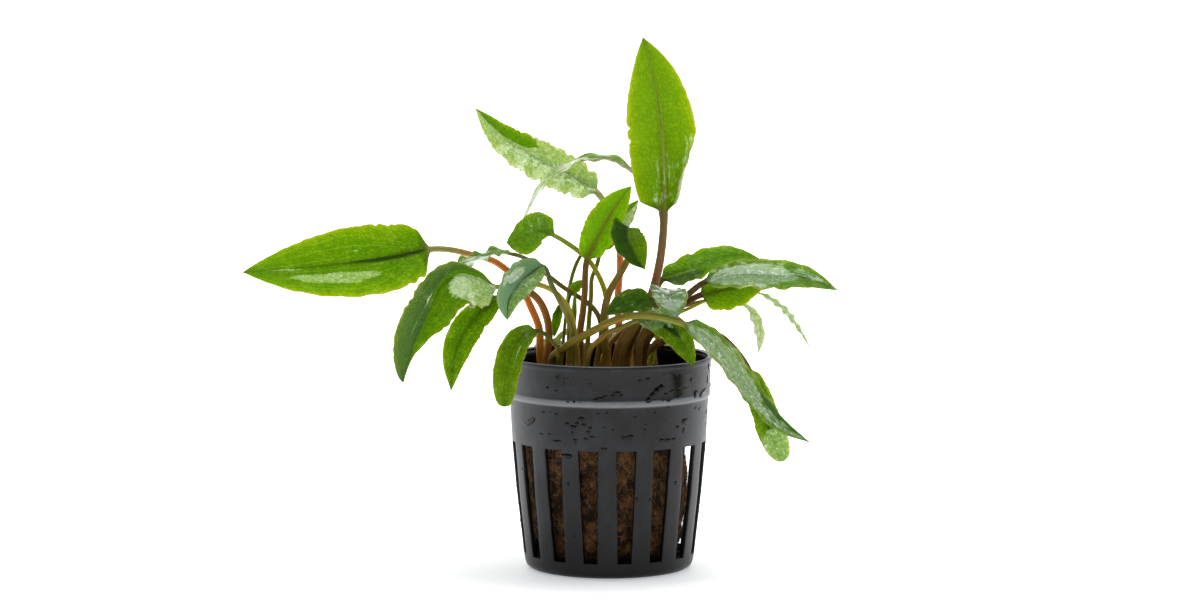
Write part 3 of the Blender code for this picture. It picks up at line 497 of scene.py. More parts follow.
leaves = [
    {
        "name": "leftWideLeaf", "node": "leaf_left_wide",
        "stalk": [(-16.6, 4, 41), (-16.6, 4, 45.2), (-17.3, 4, 53.5), (-17.5, 5, 59.2), (-19.6, 7, 64.5),
                  (-23.1, 9, 70.9), (-28.6, 11, 75.5), (-34.9, 11, 77.4), (-39.6, 10, 78.6)],
        "blade": [(-44.4, 9, 78.9), (-56, 7, 76.9), (-67.2, 5, 75.6), (-78.4, 4, 74.5), (-91.3, 3, 73.7)],
        "across": [(0.1, -0.45, -0.9), (0, -0.4, -0.92), (0, -0.5, -0.85)],
        "widths": (9.9, 8.9), "fold": 8, "curl": 0.05, "radii": (1.05, 0.75), "widest": (0.36, 0.36),
        "basePower": (0.24, 0.34), "tipPower": (0.95, 0.95), "half": 34, "ruffle": (0.3, 0.4, 6),
        "teeth": (0.015, 0.02, 15),
        "wetSheenPatches": [(0.53, 0.42, 0.27, 0.18, 0.95), (0.8, 0.04, 0.22, 0.05, 0.8), (0.3, -0.3, 0.25, 0.03, 0.45)],
        "shades": [(0.18, 0.03, 0.34, 0.07, 0.85)],
        "bites": [(-1, 0.2, 0.02, 0.07), (-1, 0.27, 0.02, 0.07), (-1, 0.07, 0.02, 0.08), (1, 0.1, 0.025, 0.1), (1, 0.16, 0.02, 0.06)],
        "look": {"top": (108, 144, 0), "light": (130, 162, 3), "deep": (70, 108, 0), "foot": (182, 106, 48),
                 "middle": (232, 141, 68), "neck": (176, 176, 112), "wet": 0.1, "net": 0.55, "veins": 0.5, "vein": (146, 176, 60)},
    },
    {
        "name": "upperLeftLeaf", "node": "leaf_upper_left",
        "stalk": [(2.5, 10, 41), (2.5, 10, 45.2), (2.5, 11, 58.3), (2.2, 12, 65.8), (2.8, 14, 75.2),
                  (2, 16, 81.8), (-0.3, 17, 88)],
        "blade": [(-3, 18, 92.3), (-10.9, 18.5, 97), (-18.7, 19, 101), (-26.7, 20, 106),
                  (-33.6, 22, 113.2)],
        "across": [(-0.2, -0.62, -0.78), (-0.3, -0.62, -0.73), (-0.5, -0.55, -0.65)],
        "widths": (6.6, 5.4), "fold": 10, "curl": 0, "radii": (1, 0.8), "widest": (0.34, 0.34),
        "basePower": (0.3, 0.3), "tipPower": (0.9, 0.9), "half": 32, "ruffle": (0.35, 0.4, 7),
        "teeth": (0.07, 0.05, 22),
        "wetSheenPatches": [(0.3, 0, 0.7, 1.8, 1.4), (0.7, 0.45, 0.5, 0.6, 1.4), (0.8, -0.6, 0.32, 0.5, -2)],
        "shades": [(0.82, -0.55, 0.1, 0.25, 0.3)],
        "bites": [(1, 0.16, 0.03, 0.25), (1, 0.28, 0.02, 0.1), (1, 0.38, 0.02, 0.12), (-1, 0.12, 0.03, 0.2),
                  (-1, 0.3, 0.03, 0.14), (1, 0.5, 0.02, 0.08)],
        "look": {"top": (98, 138, 2), "light": (122, 156, 14), "deep": (66, 104, 6),
                 "wetSheen": (194, 212, 160), "foot": (198, 101, 55), "middle": (255, 151, 92),
                 "neck": (170, 180, 110), "wet": 0.5, "veins": 0.5, "net": 0.4},
    },
    {
        "name": "archingLeaf", "node": "leaf_arching",
        "stalk": [(-3.6, 7, 41), (-3.6, 7, 45.2), (0.5, 7.6, 55.5), (6, 8.4, 60.2), (9.4, 9, 64.6),
                  (11.4, 9, 70.2), (12.9, 9, 77), (13.4, 9.3, 83.5), (12.2, 9.8, 91)],
        "blade": [(8.5, 10, 95.7), (4.7, 9.5, 99.2), (-0.3, 9, 101.5), (-6, 8.5, 101.3), (-11.5, 8, 99),
                  (-16.5, 7.7, 94.9), (-21.5, 7, 86.4)],
        "across": [(0, -1, -0.12), (0, -1, -0.08), (0.2, -1, -0.12)],
        "widths": (4.6, 4.6), "fold": 6, "curl": 0, "radii": (0.8, 0.6), "widest": (0.3, 0.3),
        "basePower": (0.5, 0.5), "tipPower": (0.6, 0.6),
        "wetSheenPatches": [(0.8, 0, 0.4, 1.6, 1.4)],
        "ruffle": (0.5, 0.5, 5),
        "shades": [(0.12, 0.75, 0.35, 0.4, 1.3)],
        "look": {"wetSheen": (190, 206, 168), "foot": (143, 116, 46), "middle": (148, 116, 53),
                 "neck": (130, 140, 60), "under": (120, 84, 50), "top": (100, 138, 10), "light": (128, 160, 20), "dark": (132, 96, 58)},
    },
    {
        "name": "tallLeaf", "node": "leaf_tall",
        "stalk": [(1.3, 1, 41), (1.3, 1, 45.2), (2.7, 0.5, 55.5), (5.9, 0, 60.5), (9.2, -1, 65.2),
                  (11.1, -2, 70.5), (12.6, -2.5, 77.3), (13.3, -3, 83.3)],
        "blade": [(13.6, -3, 88.8), (13.5, -4, 101.5), (12.8, -5, 110.7), (11, -7, 122.2),
                  (8.3, -9, 132.6)],
        "across": [(1, 0.1, 0), (1, 0.15, 0), (1, 0.2, 0.15)],
        "widths": (8.4, 8.4), "fold": 6, "curl": 0.03, "radii": (1.25, 0.95), "widest": (0.47, 0.46),
        "basePower": (0.5, 0.27), "tipPower": (0.92, 0.92), "half": 36, "ruffle": (0.25, 0.25, 5),
        "teeth": (0.018, 0.018, 14), "channels": 0.05,
        "rolls": [(1, 0.16, 0.42, 0.42, -168)],
        "bites": [(-1, 0.5, 0.02, 0.08), (-1, 0.42, 0.02, 0.08)],
        "wetSheenPatches": [(0.15, 0.85, 0.3, 0.3, 1), (0.12, 0.1, 0.34, 0.9, 0.42)],
        "shades": [(0.75, 0, 0.4, 0.05, 0.6)],
        "look": {"top": (116, 142, 0), "light": (136, 160, 0), "deep": (82, 114, 0),
                 "under": (114, 144, 0), "rib": (142, 158, 60), "wetSheen": (168, 188, 140),
                 "foot": (137, 96, 55), "middle": (161, 118, 88), "neck": (128, 112, 72), "glow": 0.4,
                 "net": 0.5, "wet": 0, "dark": (70, 96, 0)},
    },
    {
        "name": "centreLeaf", "node": "leaf_centre",
        "stalk": [(-7.5, -3, 41), (-7.5, -3, 45.2), (-7.2, -3.5, 59.2), (-6.5, -4, 64.5), (-6, -5, 70.1),
                  (-5.9, -6, 74.2)],
        "blade": [(-5.5, -7, 77.7), (-3.5, -8, 82), (-1, -10, 86.9), (1.6, -12, 91.5), (5.3, -14, 96.5)],
        "across": [(0.8, 0.1, -0.45), (0.75, 0.15, -0.55), (0.7, 0.2, -0.6)],
        "widths": (4.2, 4.6), "fold": 14, "curl": 0, "radii": (0.95, 0.75), "widest": (0.42, 0.42),
        "basePower": (0.42, 0.42), "tipPower": (0.9, 0.9), "ruffle": (0.4, 0.4, 6), "teeth": (0.04, 0.04, 16),
        "look": {"top": (108, 148, 0), "light": (128, 164, 2), "deep": (86, 124, 4),
                 "under": (114, 154, 0), "rib": (122, 112, 30), "foot": (121, 88, 40),
                 "middle": (153, 111, 57), "neck": (120, 92, 50), "glow": 0.5, "wet": 0, "net": 0.45},
    },
    {
        "name": "curledFrontLeaf", "node": "leaf_curled_front",
        "stalk": [(0.2, -5, 41), (0.2, -5, 45.2), (-1.3, -6, 63.2), (-0.1, -7, 69.3), (2.4, -8, 73.9),
                  (4.9, -9, 78.7), (6.1, -11, 82.8)],
        "blade": [(5.8, -14, 85.8), (4.6, -17.5, 86.6), (4.5, -20.5, 84.4), (6.2, -23, 81),
                  (8.6, -25, 77.3)],
        "across": [(0.9, 0.15, -0.2), (0.85, -0.3, -0.35), (0.8, -0.3, -0.5)],
        "widths": (4, 4.6), "fold": 12, "curl": 0, "radii": (1, 0.8), "widest": (0.55, 0.42),
        "basePower": (0.8, 0.4), "tipPower": (0.95, 0.95),
        "shades": [(0.45, -0.75, 0.8, 0.75, 1.4)],
        "rolls": [(-1, 0.4, 0.6, 0.4, 30)],
        "look": {"top": (94, 124, 16), "light": (120, 150, 22), "deep": (64, 92, 8), "dark": (34, 58, 16),
                 "foot": (127, 98, 37), "middle": (145, 121, 48), "neck": (100, 110, 44), "wet": 0.5, "net": 0.5},
    },
    {
        "name": "smallLeftLeaf", "node": "leaf_small_left",
        "stalk": [(-1, -1.5, 41), (-1, -1.5, 45.2), (-0.8, -1, 62.7), (-0.8, -0.5, 67.9), (-1.8, 0, 71.3),
                  (-3.3, 0, 74.3), (-5.3, 0, 77.3), (-8, -1, 79.6), (-10.7, -3, 81.7)],
        "blade": [(-13.6, -6, 83.7), (-16.6, -10, 85.2), (-19.4, -15, 85.2), (-22.3, -20, 84.2),
                  (-24.9, -24, 83.6)],
        "across": [(0.1, -0.1, -1), (0.3, -0.3, -0.9), (0.3, -0.3, -0.9)],
        "widths": (4.6, 4.6), "fold": 10, "curl": 0, "radii": (0.8, 0.6), "widest": (0.74, 0.3),
        "basePower": (1.3, 0.35), "tipPower": (0.45, 0.8), "ruffle": (0.35, 0.35, 4),
        "wetSheenPatches": [(0.3, -0.4, 0.3, 0.3, 0.3)],
        "look": {"top": (96, 138, 8), "light": (120, 154, 14), "deep": (76, 110, 8),
                 "foot": (148, 136, 48), "middle": (180, 179, 55), "neck": (146, 162, 60), "wet": 0.4, "under": (110, 142, 24), "net": 0.5},
    },
    {
        "name": "edgeLeftLeaf", "node": "leaf_edge_left",
        "stalk": [(-4.2, -1.8, 41), (-4.2, -1.8, 45.2), (-2, -2.6, 61.1), (-3.8, -1.6, 65),
                  (-7.2, -1.2, 67.7), (-11.5, -1.6, 70.5), (-15.9, -2, 74), (-19.1, -2, 76.7),
                  (-21.4, -1.5, 77.9)],
        "blade": [(-23.9, -1, 78.6), (-27.6, -1, 79), (-32.5, -2, 77.5), (-38.5, -3, 75.1),
                  (-45.1, -5, 71.1)],
        "across": [(0, -1, -0.12), (0, -1, -0.2), (0.05, -1, -0.28)],
        "widths": (4.6, 4.6), "fold": 5, "curl": 0, "radii": (0.8, 0.55), "widest": (0.38, 0.38),
        "basePower": (0.5, 0.5), "tipPower": (1, 1), "ruffle": (0.7, 0.7, 6), "teeth": (0.05, 0.05, 14),
        "wetSheenPatches": [(0.75, 0.3, 0.5, 1.2, 1.3)],
        "look": {"wetSheen": (150, 176, 146), "foot": (127, 111, 48), "middle": (116, 113, 44),
                 "neck": (110, 120, 60), "wet": 0.5, "top": (84, 124, 20), "light": (108, 144, 40)},
    },
    {
        "name": "glossyLeftLeaf", "node": "leaf_glossy_left",
        "stalk": [(-7.2, -8.9, 41), (-7.2, -8.9, 45.2), (-8.7, -9.6, 60.6), (-9.7, -9.5, 65.1),
                  (-11.7, -9, 68.3), (-14.4, -8.5, 70.6), (-18.1, -8.5, 71.9), (-22.5, -9, 72)],
        "blade": [(-27.4, -10, 71.4), (-32.3, -11.8, 73.4), (-37, -13.5, 74.4), (-40.6, -15, 72.6),
                  (-43.8, -16.5, 66.9), (-47.6, -17.5, 59.3), (-50.5, -18, 48.6)],
        "across": [(0.1, -0.6, -0.8), (0.2, -0.5, -0.8), (0.75, -0.3, -0.45), (0.75, -0.3, -0.3)],
        "widths": (10.4, 5.4), "fold": 10, "curl": 0.05, "radii": (0.85, 0.6), "widest": (0.27, 0.62),
        "basePower": (0.3, 0.95), "tipPower": (2.4, 0.6), "half": 34, "ruffle": (0.5, 0.5, 6),
        "teeth": (0.04, 0.04, 18),
        "wetSheenPatches": [(0.14, 0.45, 0.24, 0.75, 1.05), (0.28, 0.5, 0.15, 0.45, 0.9), (0.55, -0.25, 0.3, 0.06, 0.6)],
        "shades": [(0.5, -0.6, 0.26, 0.45, 1.6), (0.82, -0.45, 0.36, 0.6, 1.6), (0.3, -0.7, 0.2, 0.25, 1.2)],
        "look": {"top": (92, 132, 2), "light": (114, 150, 6), "deep": (62, 92, 6), "dark": (74, 94, 62),
                 "wetSheen": (186, 206, 154), "foot": (156, 141, 57), "middle": (198, 184, 77),
                 "neck": (150, 160, 70), "wet": 0.6, "net": 0.5},
    },
    {
        "name": "hangingLeftLeaf", "node": "leaf_hanging_left",
        "stalk": [(-15.2, -3, 41), (-15.2, -3, 45.2), (-15.2, -3.5, 54.9), (-14.9, -4, 59.2),
                  (-15.4, -4.5, 63), (-17.1, -5, 67.1), (-19.8, -5.5, 69.6), (-23.5, -6, 70.2)],
        "blade": [(-27, -6.5, 68.5), (-31.4, -7.5, 65.1), (-35.6, -8.5, 60.3), (-38.3, -9.5, 53.7),
                  (-39.1, -10, 45.5)],
        "across": [(0.6, -0.2, -0.7), (0.85, -0.15, -0.4), (0.9, 0, -0.2)],
        "widths": (4, 3.8), "fold": 10, "curl": 0, "radii": (1.1, 0.85), "widest": (0.45, 0.45),
        "basePower": (0.45, 0.45), "tipPower": (1.1, 1.1), "ruffle": (0.3, 0.3, 4),
        "bites": [(1, 0.3, 0.04, 0.08)],
        "look": {"top": (92, 124, 0), "light": (110, 144, 4), "deep": (66, 94, 4), "foot": (148, 96, 40),
                 "middle": (166, 111, 51), "neck": (96, 84, 40), "wet": 0.2, "net": 0.55},
    },
    {
        "name": "foldedFrontLeaf", "node": "leaf_folded_front",
        "stalk": [(-9.8, -11.4, 41), (-9.8, -11.4, 45.2), (-9.2, -12, 59.9), (-10.4, -12.8, 64.5),
                  (-12.4, -13.4, 68.7), (-14.3, -14, 72.5)],
        "blade": [(-16, -15, 76.8), (-19.4, -19, 75.5), (-22.2, -23, 73.2), (-24.4, -27, 69.9),
                  (-24.8, -29, 65.3)],
        "across": [(0.55, -0.3, -0.5), (0.6, -0.3, -0.6), (0.7, -0.2, -0.5)],
        "widths": (4, 4.7), "fold": 16, "curl": 0, "radii": (0.9, 0.65), "widest": (0.5, 0.5),
        "basePower": (0.45, 0.45), "tipPower": (0.9, 0.9),
        "wetSheenPatches": [(0.42, -0.45, 0.18, 0.28, 0.95), (0.6, -0.7, 0.1, 0.18, 0.7)],
        "rolls": [(-1, 0.5, 0.6, 0.3, 35)],
        "shades": [(0.5, -0.6, 0.62, 0.6, 1.6)],
        "look": {"top": (136, 166, 100), "light": (158, 184, 122), "deep": (50, 70, 46),
                 "under": (128, 152, 84), "wetSheen": (204, 216, 212), "dark": (122, 148, 128),
                 "foot": (119, 103, 42), "middle": (132, 126, 51), "neck": (84, 96, 44), "wet": 0.8, "ribShow": 0.85, "margin": (46, 66, 48)},
    },
    {
        "name": "overRimLeaf", "node": "leaf_over_rim",
        "stalk": [(-12.6, -14.4, 41), (-12.6, -14.4, 45.2), (-12.8, -16.6, 57), (-14.3, -18.6, 59.2),
                  (-15.7, -20.6, 60.9)],
        "blade": [(-17.6, -22.6, 61.9), (-20.8, -25, 61.2), (-23.4, -27.5, 57.8), (-25.1, -29.5, 51.7),
                  (-25.6, -30, 44.2)],
        "across": [(0.5, -0.5, -0.6), (0.85, -0.3, -0.25), (0.9, -0.2, 0)],
        "widths": (3.7, 3.4), "fold": 10, "curl": 0, "radii": (0.7, 0.5), "widest": (0.46, 0.46),
        "basePower": (0.4, 0.4), "tipPower": (0.35, 0.35), "ruffle": (0.35, 0.35, 5),
        "wetSheenPatches": [(0.45, 0.4, 0.25, 0.1, 0.5), (0.25, -0.5, 0.2, 0.2, 0.45)],
        "look": {"top": (94, 124, 6), "light": (116, 144, 12), "deep": (66, 90, 10), "foot": (111, 91, 33),
                 "middle": (127, 111, 40), "neck": (70, 84, 40), "wet": 0.5, "net": 0.5},
    },
    {
        "name": "rightUpperLeaf", "node": "leaf_right_upper",
        "stalk": [(4.2, 5.5, 41), (4.2, 5.5, 45.2), (4.7, 5.6, 53.9), (7, 5.8, 58.9), (9.5, 6, 64.4),
                  (11.5, 6.2, 68.4)],
        "blade": [(13.2, 6.6, 71.4), (18.2, 8, 73.4), (24.3, 10, 75.6), (30.9, 12, 77.1), (37.7, 14, 76.1)],
        "across": [(-0.15, 0.75, 0.65), (-0.1, 0.8, 0.6), (0.1, 0.85, 0.5)],
        "widths": (4.2, 5), "fold": 8, "curl": 0, "radii": (1.1, 0.8), "widest": (0.42, 0.26),
        "basePower": (0.4, 0.22), "tipPower": (0.85, 0.85), "ruffle": (0.4, 0.4, 5),
        "shades": [(0.15, -0.6, 0.3, 0.4, 1)],
        "teeth": (0.03, 0.06, 12),
        "look": {"top": (104, 146, 0), "light": (122, 162, 2), "deep": (64, 102, 3), "foot": (116, 93, 35),
                 "middle": (127, 106, 44), "neck": (104, 116, 40), "wet": 0.3, "net": 0.5},
    },
    {
        "name": "rightLongLeaf", "node": "leaf_right_long",
        "stalk": [(8, 0.6, 41), (8, 0.6, 45.2), (7.2, -0.4, 56.1), (10.1, -1.4, 60.7), (14.4, -2.2, 64.5), (19.1, -2.6, 68.3)],
        "blade": [(23.4, -2.8, 71.6), (30.6, -3.4, 73.8), (40.2, -4.6, 73.9), (48.8, -5.8, 73.1), (56.3, -7, 70.3)],
        "across": [(0, 0.87, 0.5), (0, 0.87, 0.5), (0.1, 0.87, 0.45)],
        "widths": (5.4, 7.8), "fold": 8, "curl": 0, "radii": (1.1, 0.8), "widest": (0.5, 0.46),
        "basePower": (0.42, 0.42), "tipPower": (0.9, 0.9), "half": 34, "ruffle": (0.25, 0.35, 6),
        "wetSheenPatches": [(0.36, -0.1, 0.42, 0.95, 0.8), (0.75, 0.3, 0.22, 0.5, 0.55)],
        "look": {"top": (100, 134, 40), "light": (134, 164, 60), "deep": (60, 92, 24),
                 "under": (104, 134, 10), "wetSheen": (160, 182, 158), "rib": (90, 112, 50),
                 "foot": (116, 91, 37), "middle": (127, 98, 44), "neck": (92, 74, 44), "wet": 0.9, "net": 0.45, "ribShow": 0.7},
    },
    {
        "name": "rightLowerLeaf", "node": "leaf_right_lower",
        "stalk": [(9.4, 4.6, 41), (9.4, 4.6, 45.2), (9.2, 4.4, 55.3), (11.5, 4.2, 59.1), (14.5, 4, 62.6),
                  (18.4, 4, 65.5)],
        "blade": [(22.9, 4, 67.9), (26.4, 4.5, 68.6), (30.7, 5, 69.5), (35.2, 5.5, 70.5), (39.7, 6, 70.7)],
        "across": [(0, 0.35, 0.9), (0, 0.35, 0.9), (0, 0.4, 0.9)],
        "widths": (4.6, 5.4), "fold": 8, "curl": 0, "radii": (1, 0.75), "widest": (0.4, 0.4),
        "basePower": (0.3, 0.3), "tipPower": (0.9, 0.9), "ruffle": (0.45, 0.45, 4), "teeth": (0.04, 0.04, 12),
        "look": {"top": (100, 124, 0), "light": (116, 142, 2), "deep": (78, 104, 4), "under": (102, 128, 0),
                 "rib": (100, 88, 44), "foot": (114, 91, 35), "middle": (127, 96, 44), "neck": (96, 74, 42),
                 "glow": 0.5, "wet": 0, "net": 0.4},
    },
    {
        "name": "thinRightLeaf", "node": "leaf_thin_right",
        "stalk": [(12.4, 7.6, 41), (12.4, 7.6, 45.2), (11.5, 8, 54.8), (13.8, 8.6, 58.6), (16.8, 9, 62.3),
                  (20.3, 9.4, 64), (24.1, 9.6, 65.8), (29.8, 10, 67.7), (34.1, 10, 68.5)],
        "blade": [(37.1, 10, 68), (40.4, 9.5, 66.3), (43.9, 9, 63.6), (46.9, 8.5, 59.8), (50.6, 8, 54.1)],
        "across": [(0.2, 1, 0.25), (0.35, 1, 0.3), (0.35, 1, 0.3)],
        "widths": (1.6, 1.6), "fold": 4, "curl": 0, "radii": (0.6, 0.4), "widest": (0.4, 0.4),
        "basePower": (0.5, 0.5), "tipPower": (1.1, 1.1), "half": 18, "ruffle": (0.3, 0.3, 7),
        "wetSheenPatches": [(0.5, 0, 0.7, 1.3, 0.7)],
        "look": {"wetSheen": (190, 208, 164), "foot": (158, 149, 55), "middle": (198, 184, 66),
                 "neck": (140, 150, 60)},
    },
    {
        "name": "witheredRightLeaf", "node": "leaf_withered_right",
        "stalk": [(6.6, 9.4, 41), (6.6, 9.4, 45.2), (7.8, 9.8, 54.6), (10.3, 10.4, 58.9), (14.1, 11, 62.1),
                  (19.1, 11.6, 64.3), (25.4, 12, 65.8), (30.4, 12, 66)],
        "blade": [(32.9, 11.5, 65.1), (35.2, 11, 63.1), (36.7, 10.5, 60.4), (37.7, 10, 56.4),
                  (37.4, 9.5, 52.4)],
        "across": [(0.7, 0.5, -0.5), (0.7, 0.5, -0.3), (0.8, 0.5, 0)],
        "widths": (1.9, 1.9), "fold": 18, "curl": 0, "radii": (0.6, 0.4), "widest": (0.4, 0.4),
        "basePower": (0.45, 0.45), "tipPower": (1, 1), "half": 18, "ruffle": (0.35, 0.35, 4),
        "wetSheenPatches": [(0.5, 0, 0.8, 1.8, 2)],
        "rolls": [(1, 0.5, 0.7, 0.3, 60)],
        "look": {"wetSheen": (216, 222, 210), "foot": (132, 111, 48), "middle": (127, 106, 48),
                 "neck": (104, 112, 60), "top": (150, 170, 120)},
    },
    {
        "name": "longFrontLeaf", "node": "leaf_long_front",
        "stalk": [(-13, -7.6, 41), (-13, -7.6, 45.2), (-14.1, -10.4, 53.5), (-11.6, -13.8, 56.4),
                  (-7.9, -17.4, 59.2), (-4, -20, 61.6), (0.2, -22, 64), (4.1, -23, 65.4), (8.7, -24, 65.8),
                  (13.1, -24, 65.2)],
        "blade": [(17.7, -24, 63.9), (22.6, -23, 60.4), (27.5, -21.5, 55.6), (32, -20, 49.5),
                  (36.4, -19, 43.7), (41.9, -18, 37.9), (49.1, -17, 33.8)],
        "across": [(0.3, 0.8, 0.45), (0.4, 0.75, 0.4), (0.4, 0.7, 0.45), (0.4, 0.6, 0.5)],
        "widths": (4.6, 4.6), "fold": 12, "curl": 0, "radii": (1.15, 0.85), "widest": (0.34, 0.34),
        "basePower": (0.3, 0.3), "tipPower": (0.95, 0.95), "half": 36, "ruffle": (0.35, 0.35, 6),
        "teeth": (0.03, 0.03, 18), "channels": 0.24,
        "wetSheenPatches": [(0.35, -0.1, 0.45, 1.1, 0.75), (0.8, 0, 0.3, 0.8, 0.55)],
        "shades": [(0.85, 0.55, 0.3, 0.4, 1)],
        "look": {"top": (98, 134, 40), "light": (140, 166, 104), "deep": (58, 88, 30),
                 "under": (84, 114, 24), "wetSheen": (156, 178, 140), "foot": (103, 88, 29),
                 "middle": (127, 113, 40), "neck": (140, 142, 70), "wet": 0.5, "veins": 0.7, "dark": (62, 88, 52), "ribShow": 0.8},
    },
    {
        "name": "droopRightLeaf", "node": "leaf_droop_right",
        "stalk": [(11.4, -1.8, 41), (11.4, -1.8, 45.2), (10.6, -2.6, 55.1), (14.1, -3.4, 57.4),
                  (18.8, -4.4, 59.3), (23.7, -5.2, 59.8), (27.7, -6, 58.5), (31.4, -6.6, 55.1)],
        "blade": [(34.6, -7, 50.4), (36.6, -7.5, 44.9), (38.6, -8, 39), (40.8, -8.5, 33.1),
                  (43.3, -9, 27.9)],
        "across": [(0.9, 0.2, 0.3), (0.9, 0.2, 0.3), (0.9, 0.2, 0.4)],
        "widths": (3.6, 3.4), "fold": 8, "curl": 0, "radii": (1.05, 0.75), "widest": (0.7, 0.7),
        "basePower": (0.35, 0.35), "tipPower": (0.42, 0.42), "ruffle": (0.45, 0.45, 4),
        "wetSheenPatches": [(0.88, 0, 0.25, 1.2, 1.2)],
        "shades": [(0.45, 0.3, 0.4, 0.6, 0.9)],
        "look": {"top": (98, 132, 16), "light": (124, 154, 40), "deep": (72, 102, 12),
                 "wetSheen": (166, 192, 130), "foot": (111, 93, 40), "middle": (137, 108, 55),
                 "neck": (92, 80, 46), "wet": 0.4, "dark": (58, 86, 12), "net": 0.5},
    },
    {
        "name": "darkCentreLeaf", "node": "leaf_dark_centre",
        "stalk": [(3.2, -9.2, 41), (3.2, -9.2, 45.2), (3.6, -10, 57), (6.6, -11, 61.8), (9.5, -12, 66.1),
                  (11.2, -13, 68.1)],
        "blade": [(10.5, -15, 68.7), (7.8, -16.5, 68.5), (5.1, -17.5, 67.9), (2.1, -18.4, 66.9),
                  (-0.8, -19, 65.4)],
        "across": [(-0.2, -0.7, -0.6), (-0.1, -0.75, -0.6), (-0.1, -0.7, -0.6)],
        "widths": (3.8, 4.2), "fold": 10, "curl": 0, "radii": (0.9, 0.7), "widest": (0.42, 0.42),
        "basePower": (0.45, 0.45), "tipPower": (0.85, 0.85), "ruffle": (0.3, 0.3, 4),
        "look": {"top": (72, 106, 24), "light": (96, 130, 34), "deep": (48, 78, 18), "foot": (114, 93, 33),
                 "middle": (132, 108, 46), "neck": (96, 88, 40), "wet": 0.7},
    },
    {
        "name": "greyFrontLeaf", "node": "leaf_grey_front",
        "stalk": [(7.2, -8, 41), (7.2, -8, 45.2), (7.8, -9, 58.1), (10.5, -10.5, 63.7), (12.5, -12, 68.3)],
        "blade": [(13.7, -15, 71.1), (14.3, -19, 71.3), (15, -22.5, 70.2), (15.7, -25.5, 68.3),
                  (16.1, -28, 65.7)],
        "across": [(0.9, -0.1, -0.1), (0.9, -0.3, -0.2), (0.9, -0.3, -0.2)],
        "widths": (4.2, 5), "fold": 12, "curl": 0, "radii": (0.9, 0.7), "widest": (0.45, 0.45),
        "basePower": (0.4, 0.4), "tipPower": (0.7, 0.7),
        "wetSheenPatches": [(0.5, 0, 0.6, 1.1, 0.75)],
        "look": {"top": (92, 122, 80), "light": (122, 146, 108), "deep": (58, 84, 48),
                 "wetSheen": (138, 160, 134), "foot": (114, 91, 37), "middle": (137, 106, 55),
                 "neck": (110, 104, 60), "wet": 0.7, "ribShow": 0.8},
    },
    {
        "name": "frontDropLeaf", "node": "leaf_front_drop",
        "stalk": [(-6, -15, 41), (-6, -15, 45.2), (-4.7, -15.6, 56.4), (-2.8, -16, 58.6),
                  (-0.3, -16.4, 60.7), (2.9, -17, 62.1)],
        "blade": [(6.8, -18, 63.8), (10.9, -18.6, 64.1), (15.1, -19, 62.2), (18.3, -19.2, 58),
                  (20.7, -19.4, 52.9)],
        "across": [(0.4, 0.5, 0.7), (0.6, 0.3, 0.7), (0.85, 0.2, 0.4)],
        "widths": (3.4, 3.8), "fold": 10, "curl": 0, "radii": (0.8, 0.6), "widest": (0.42, 0.42),
        "basePower": (0.45, 0.45), "tipPower": (0.85, 0.85), "ruffle": (0.3, 0.3, 4),
        "wetSheenPatches": [(0.12, 0, 0.25, 1, 1.3), (0.42, 0.1, 0.05, 0.12, 1.4)],
        "shades": [(0.4, 0, 0.22, 0.3, 1.2)],
        "look": {"top": (92, 122, 14), "light": (116, 146, 20), "deep": (66, 92, 10), "dark": (42, 62, 40),
                 "foot": (127, 106, 40), "middle": (156, 131, 57), "neck": (132, 130, 70), "wet": 0.5, "wetSheen": (150, 174, 132), "net": 0.5},
    },
    {
        "name": "paleBehindLeaf", "node": "leaf_pale_behind",
        "stalk": [(-5.8, 1.2, 41), (-5.8, 1.2, 45.2), (-5, 1.4, 61.9), (-4.5, 1.6, 67.9), (-4.3, 2, 72.3),
                  (-3, 2.2, 75.6)],
        "blade": [(-2, 2.6, 79.3), (0, 3, 82), (2.2, 3.4, 85), (4.7, 3.8, 88.2), (7.2, 4.2, 91.6)],
        "across": [(0.75, 0.3, -0.45), (0.75, 0.3, -0.45), (0.75, 0.3, -0.45)],
        "widths": (2.8, 2.8), "fold": 8, "curl": 0, "radii": (0.7, 0.5), "widest": (0.42, 0.42),
        "basePower": (0.45, 0.45), "tipPower": (0.9, 0.9),
        "wetSheenPatches": [(0.6, 0.4, 0.5, 0.6, 1)],
        "look": {"wetSheen": (182, 196, 160), "foot": (137, 126, 44), "middle": (158, 156, 55),
                 "neck": (120, 130, 60)},
    },
    {
        "name": "tinyDroopLeaf", "node": "leaf_tiny_droop",
        "stalk": [(-9.6, 4.6, 41), (-9.6, 4.6, 45.2), (-9.3, 4.8, 56.5), (-9.5, 5, 61), (-10, 5.2, 64.7),
                  (-11, 5.4, 66.2)],
        "blade": [(-12, 5.6, 65.4), (-12.7, 5.8, 63.7), (-13.2, 6, 61.6), (-13.5, 6.2, 59.6),
                  (-13.8, 6.4, 57)],
        "across": [(0.9, 0.3, 0), (0.9, 0.3, 0), (0.9, 0.3, 0)],
        "widths": (1.3, 1.3), "fold": 8, "curl": 0, "radii": (0.6, 0.45), "widest": (0.45, 0.45),
        "basePower": (0.5, 0.5), "tipPower": (0.9, 0.9), "half": 16, "ruffle": (0.2, 0.2, 3),
        "look": {"top": (74, 104, 14), "foot": (127, 121, 44), "middle": (145, 141, 48),
                 "neck": (90, 104, 40)},
    },
    {
        "name": "hiddenCentreLeaf", "node": "leaf_hidden_centre",
        "stalk": [(-10.4, 8.6, 41), (-10.4, 8.6, 45.2), (-10.1, 8.8, 59.8), (-10.3, 9, 66.1),
                  (-9.5, 9.2, 71.1), (-8.3, 9.4, 74.9), (-7, 9.6, 77.4)],
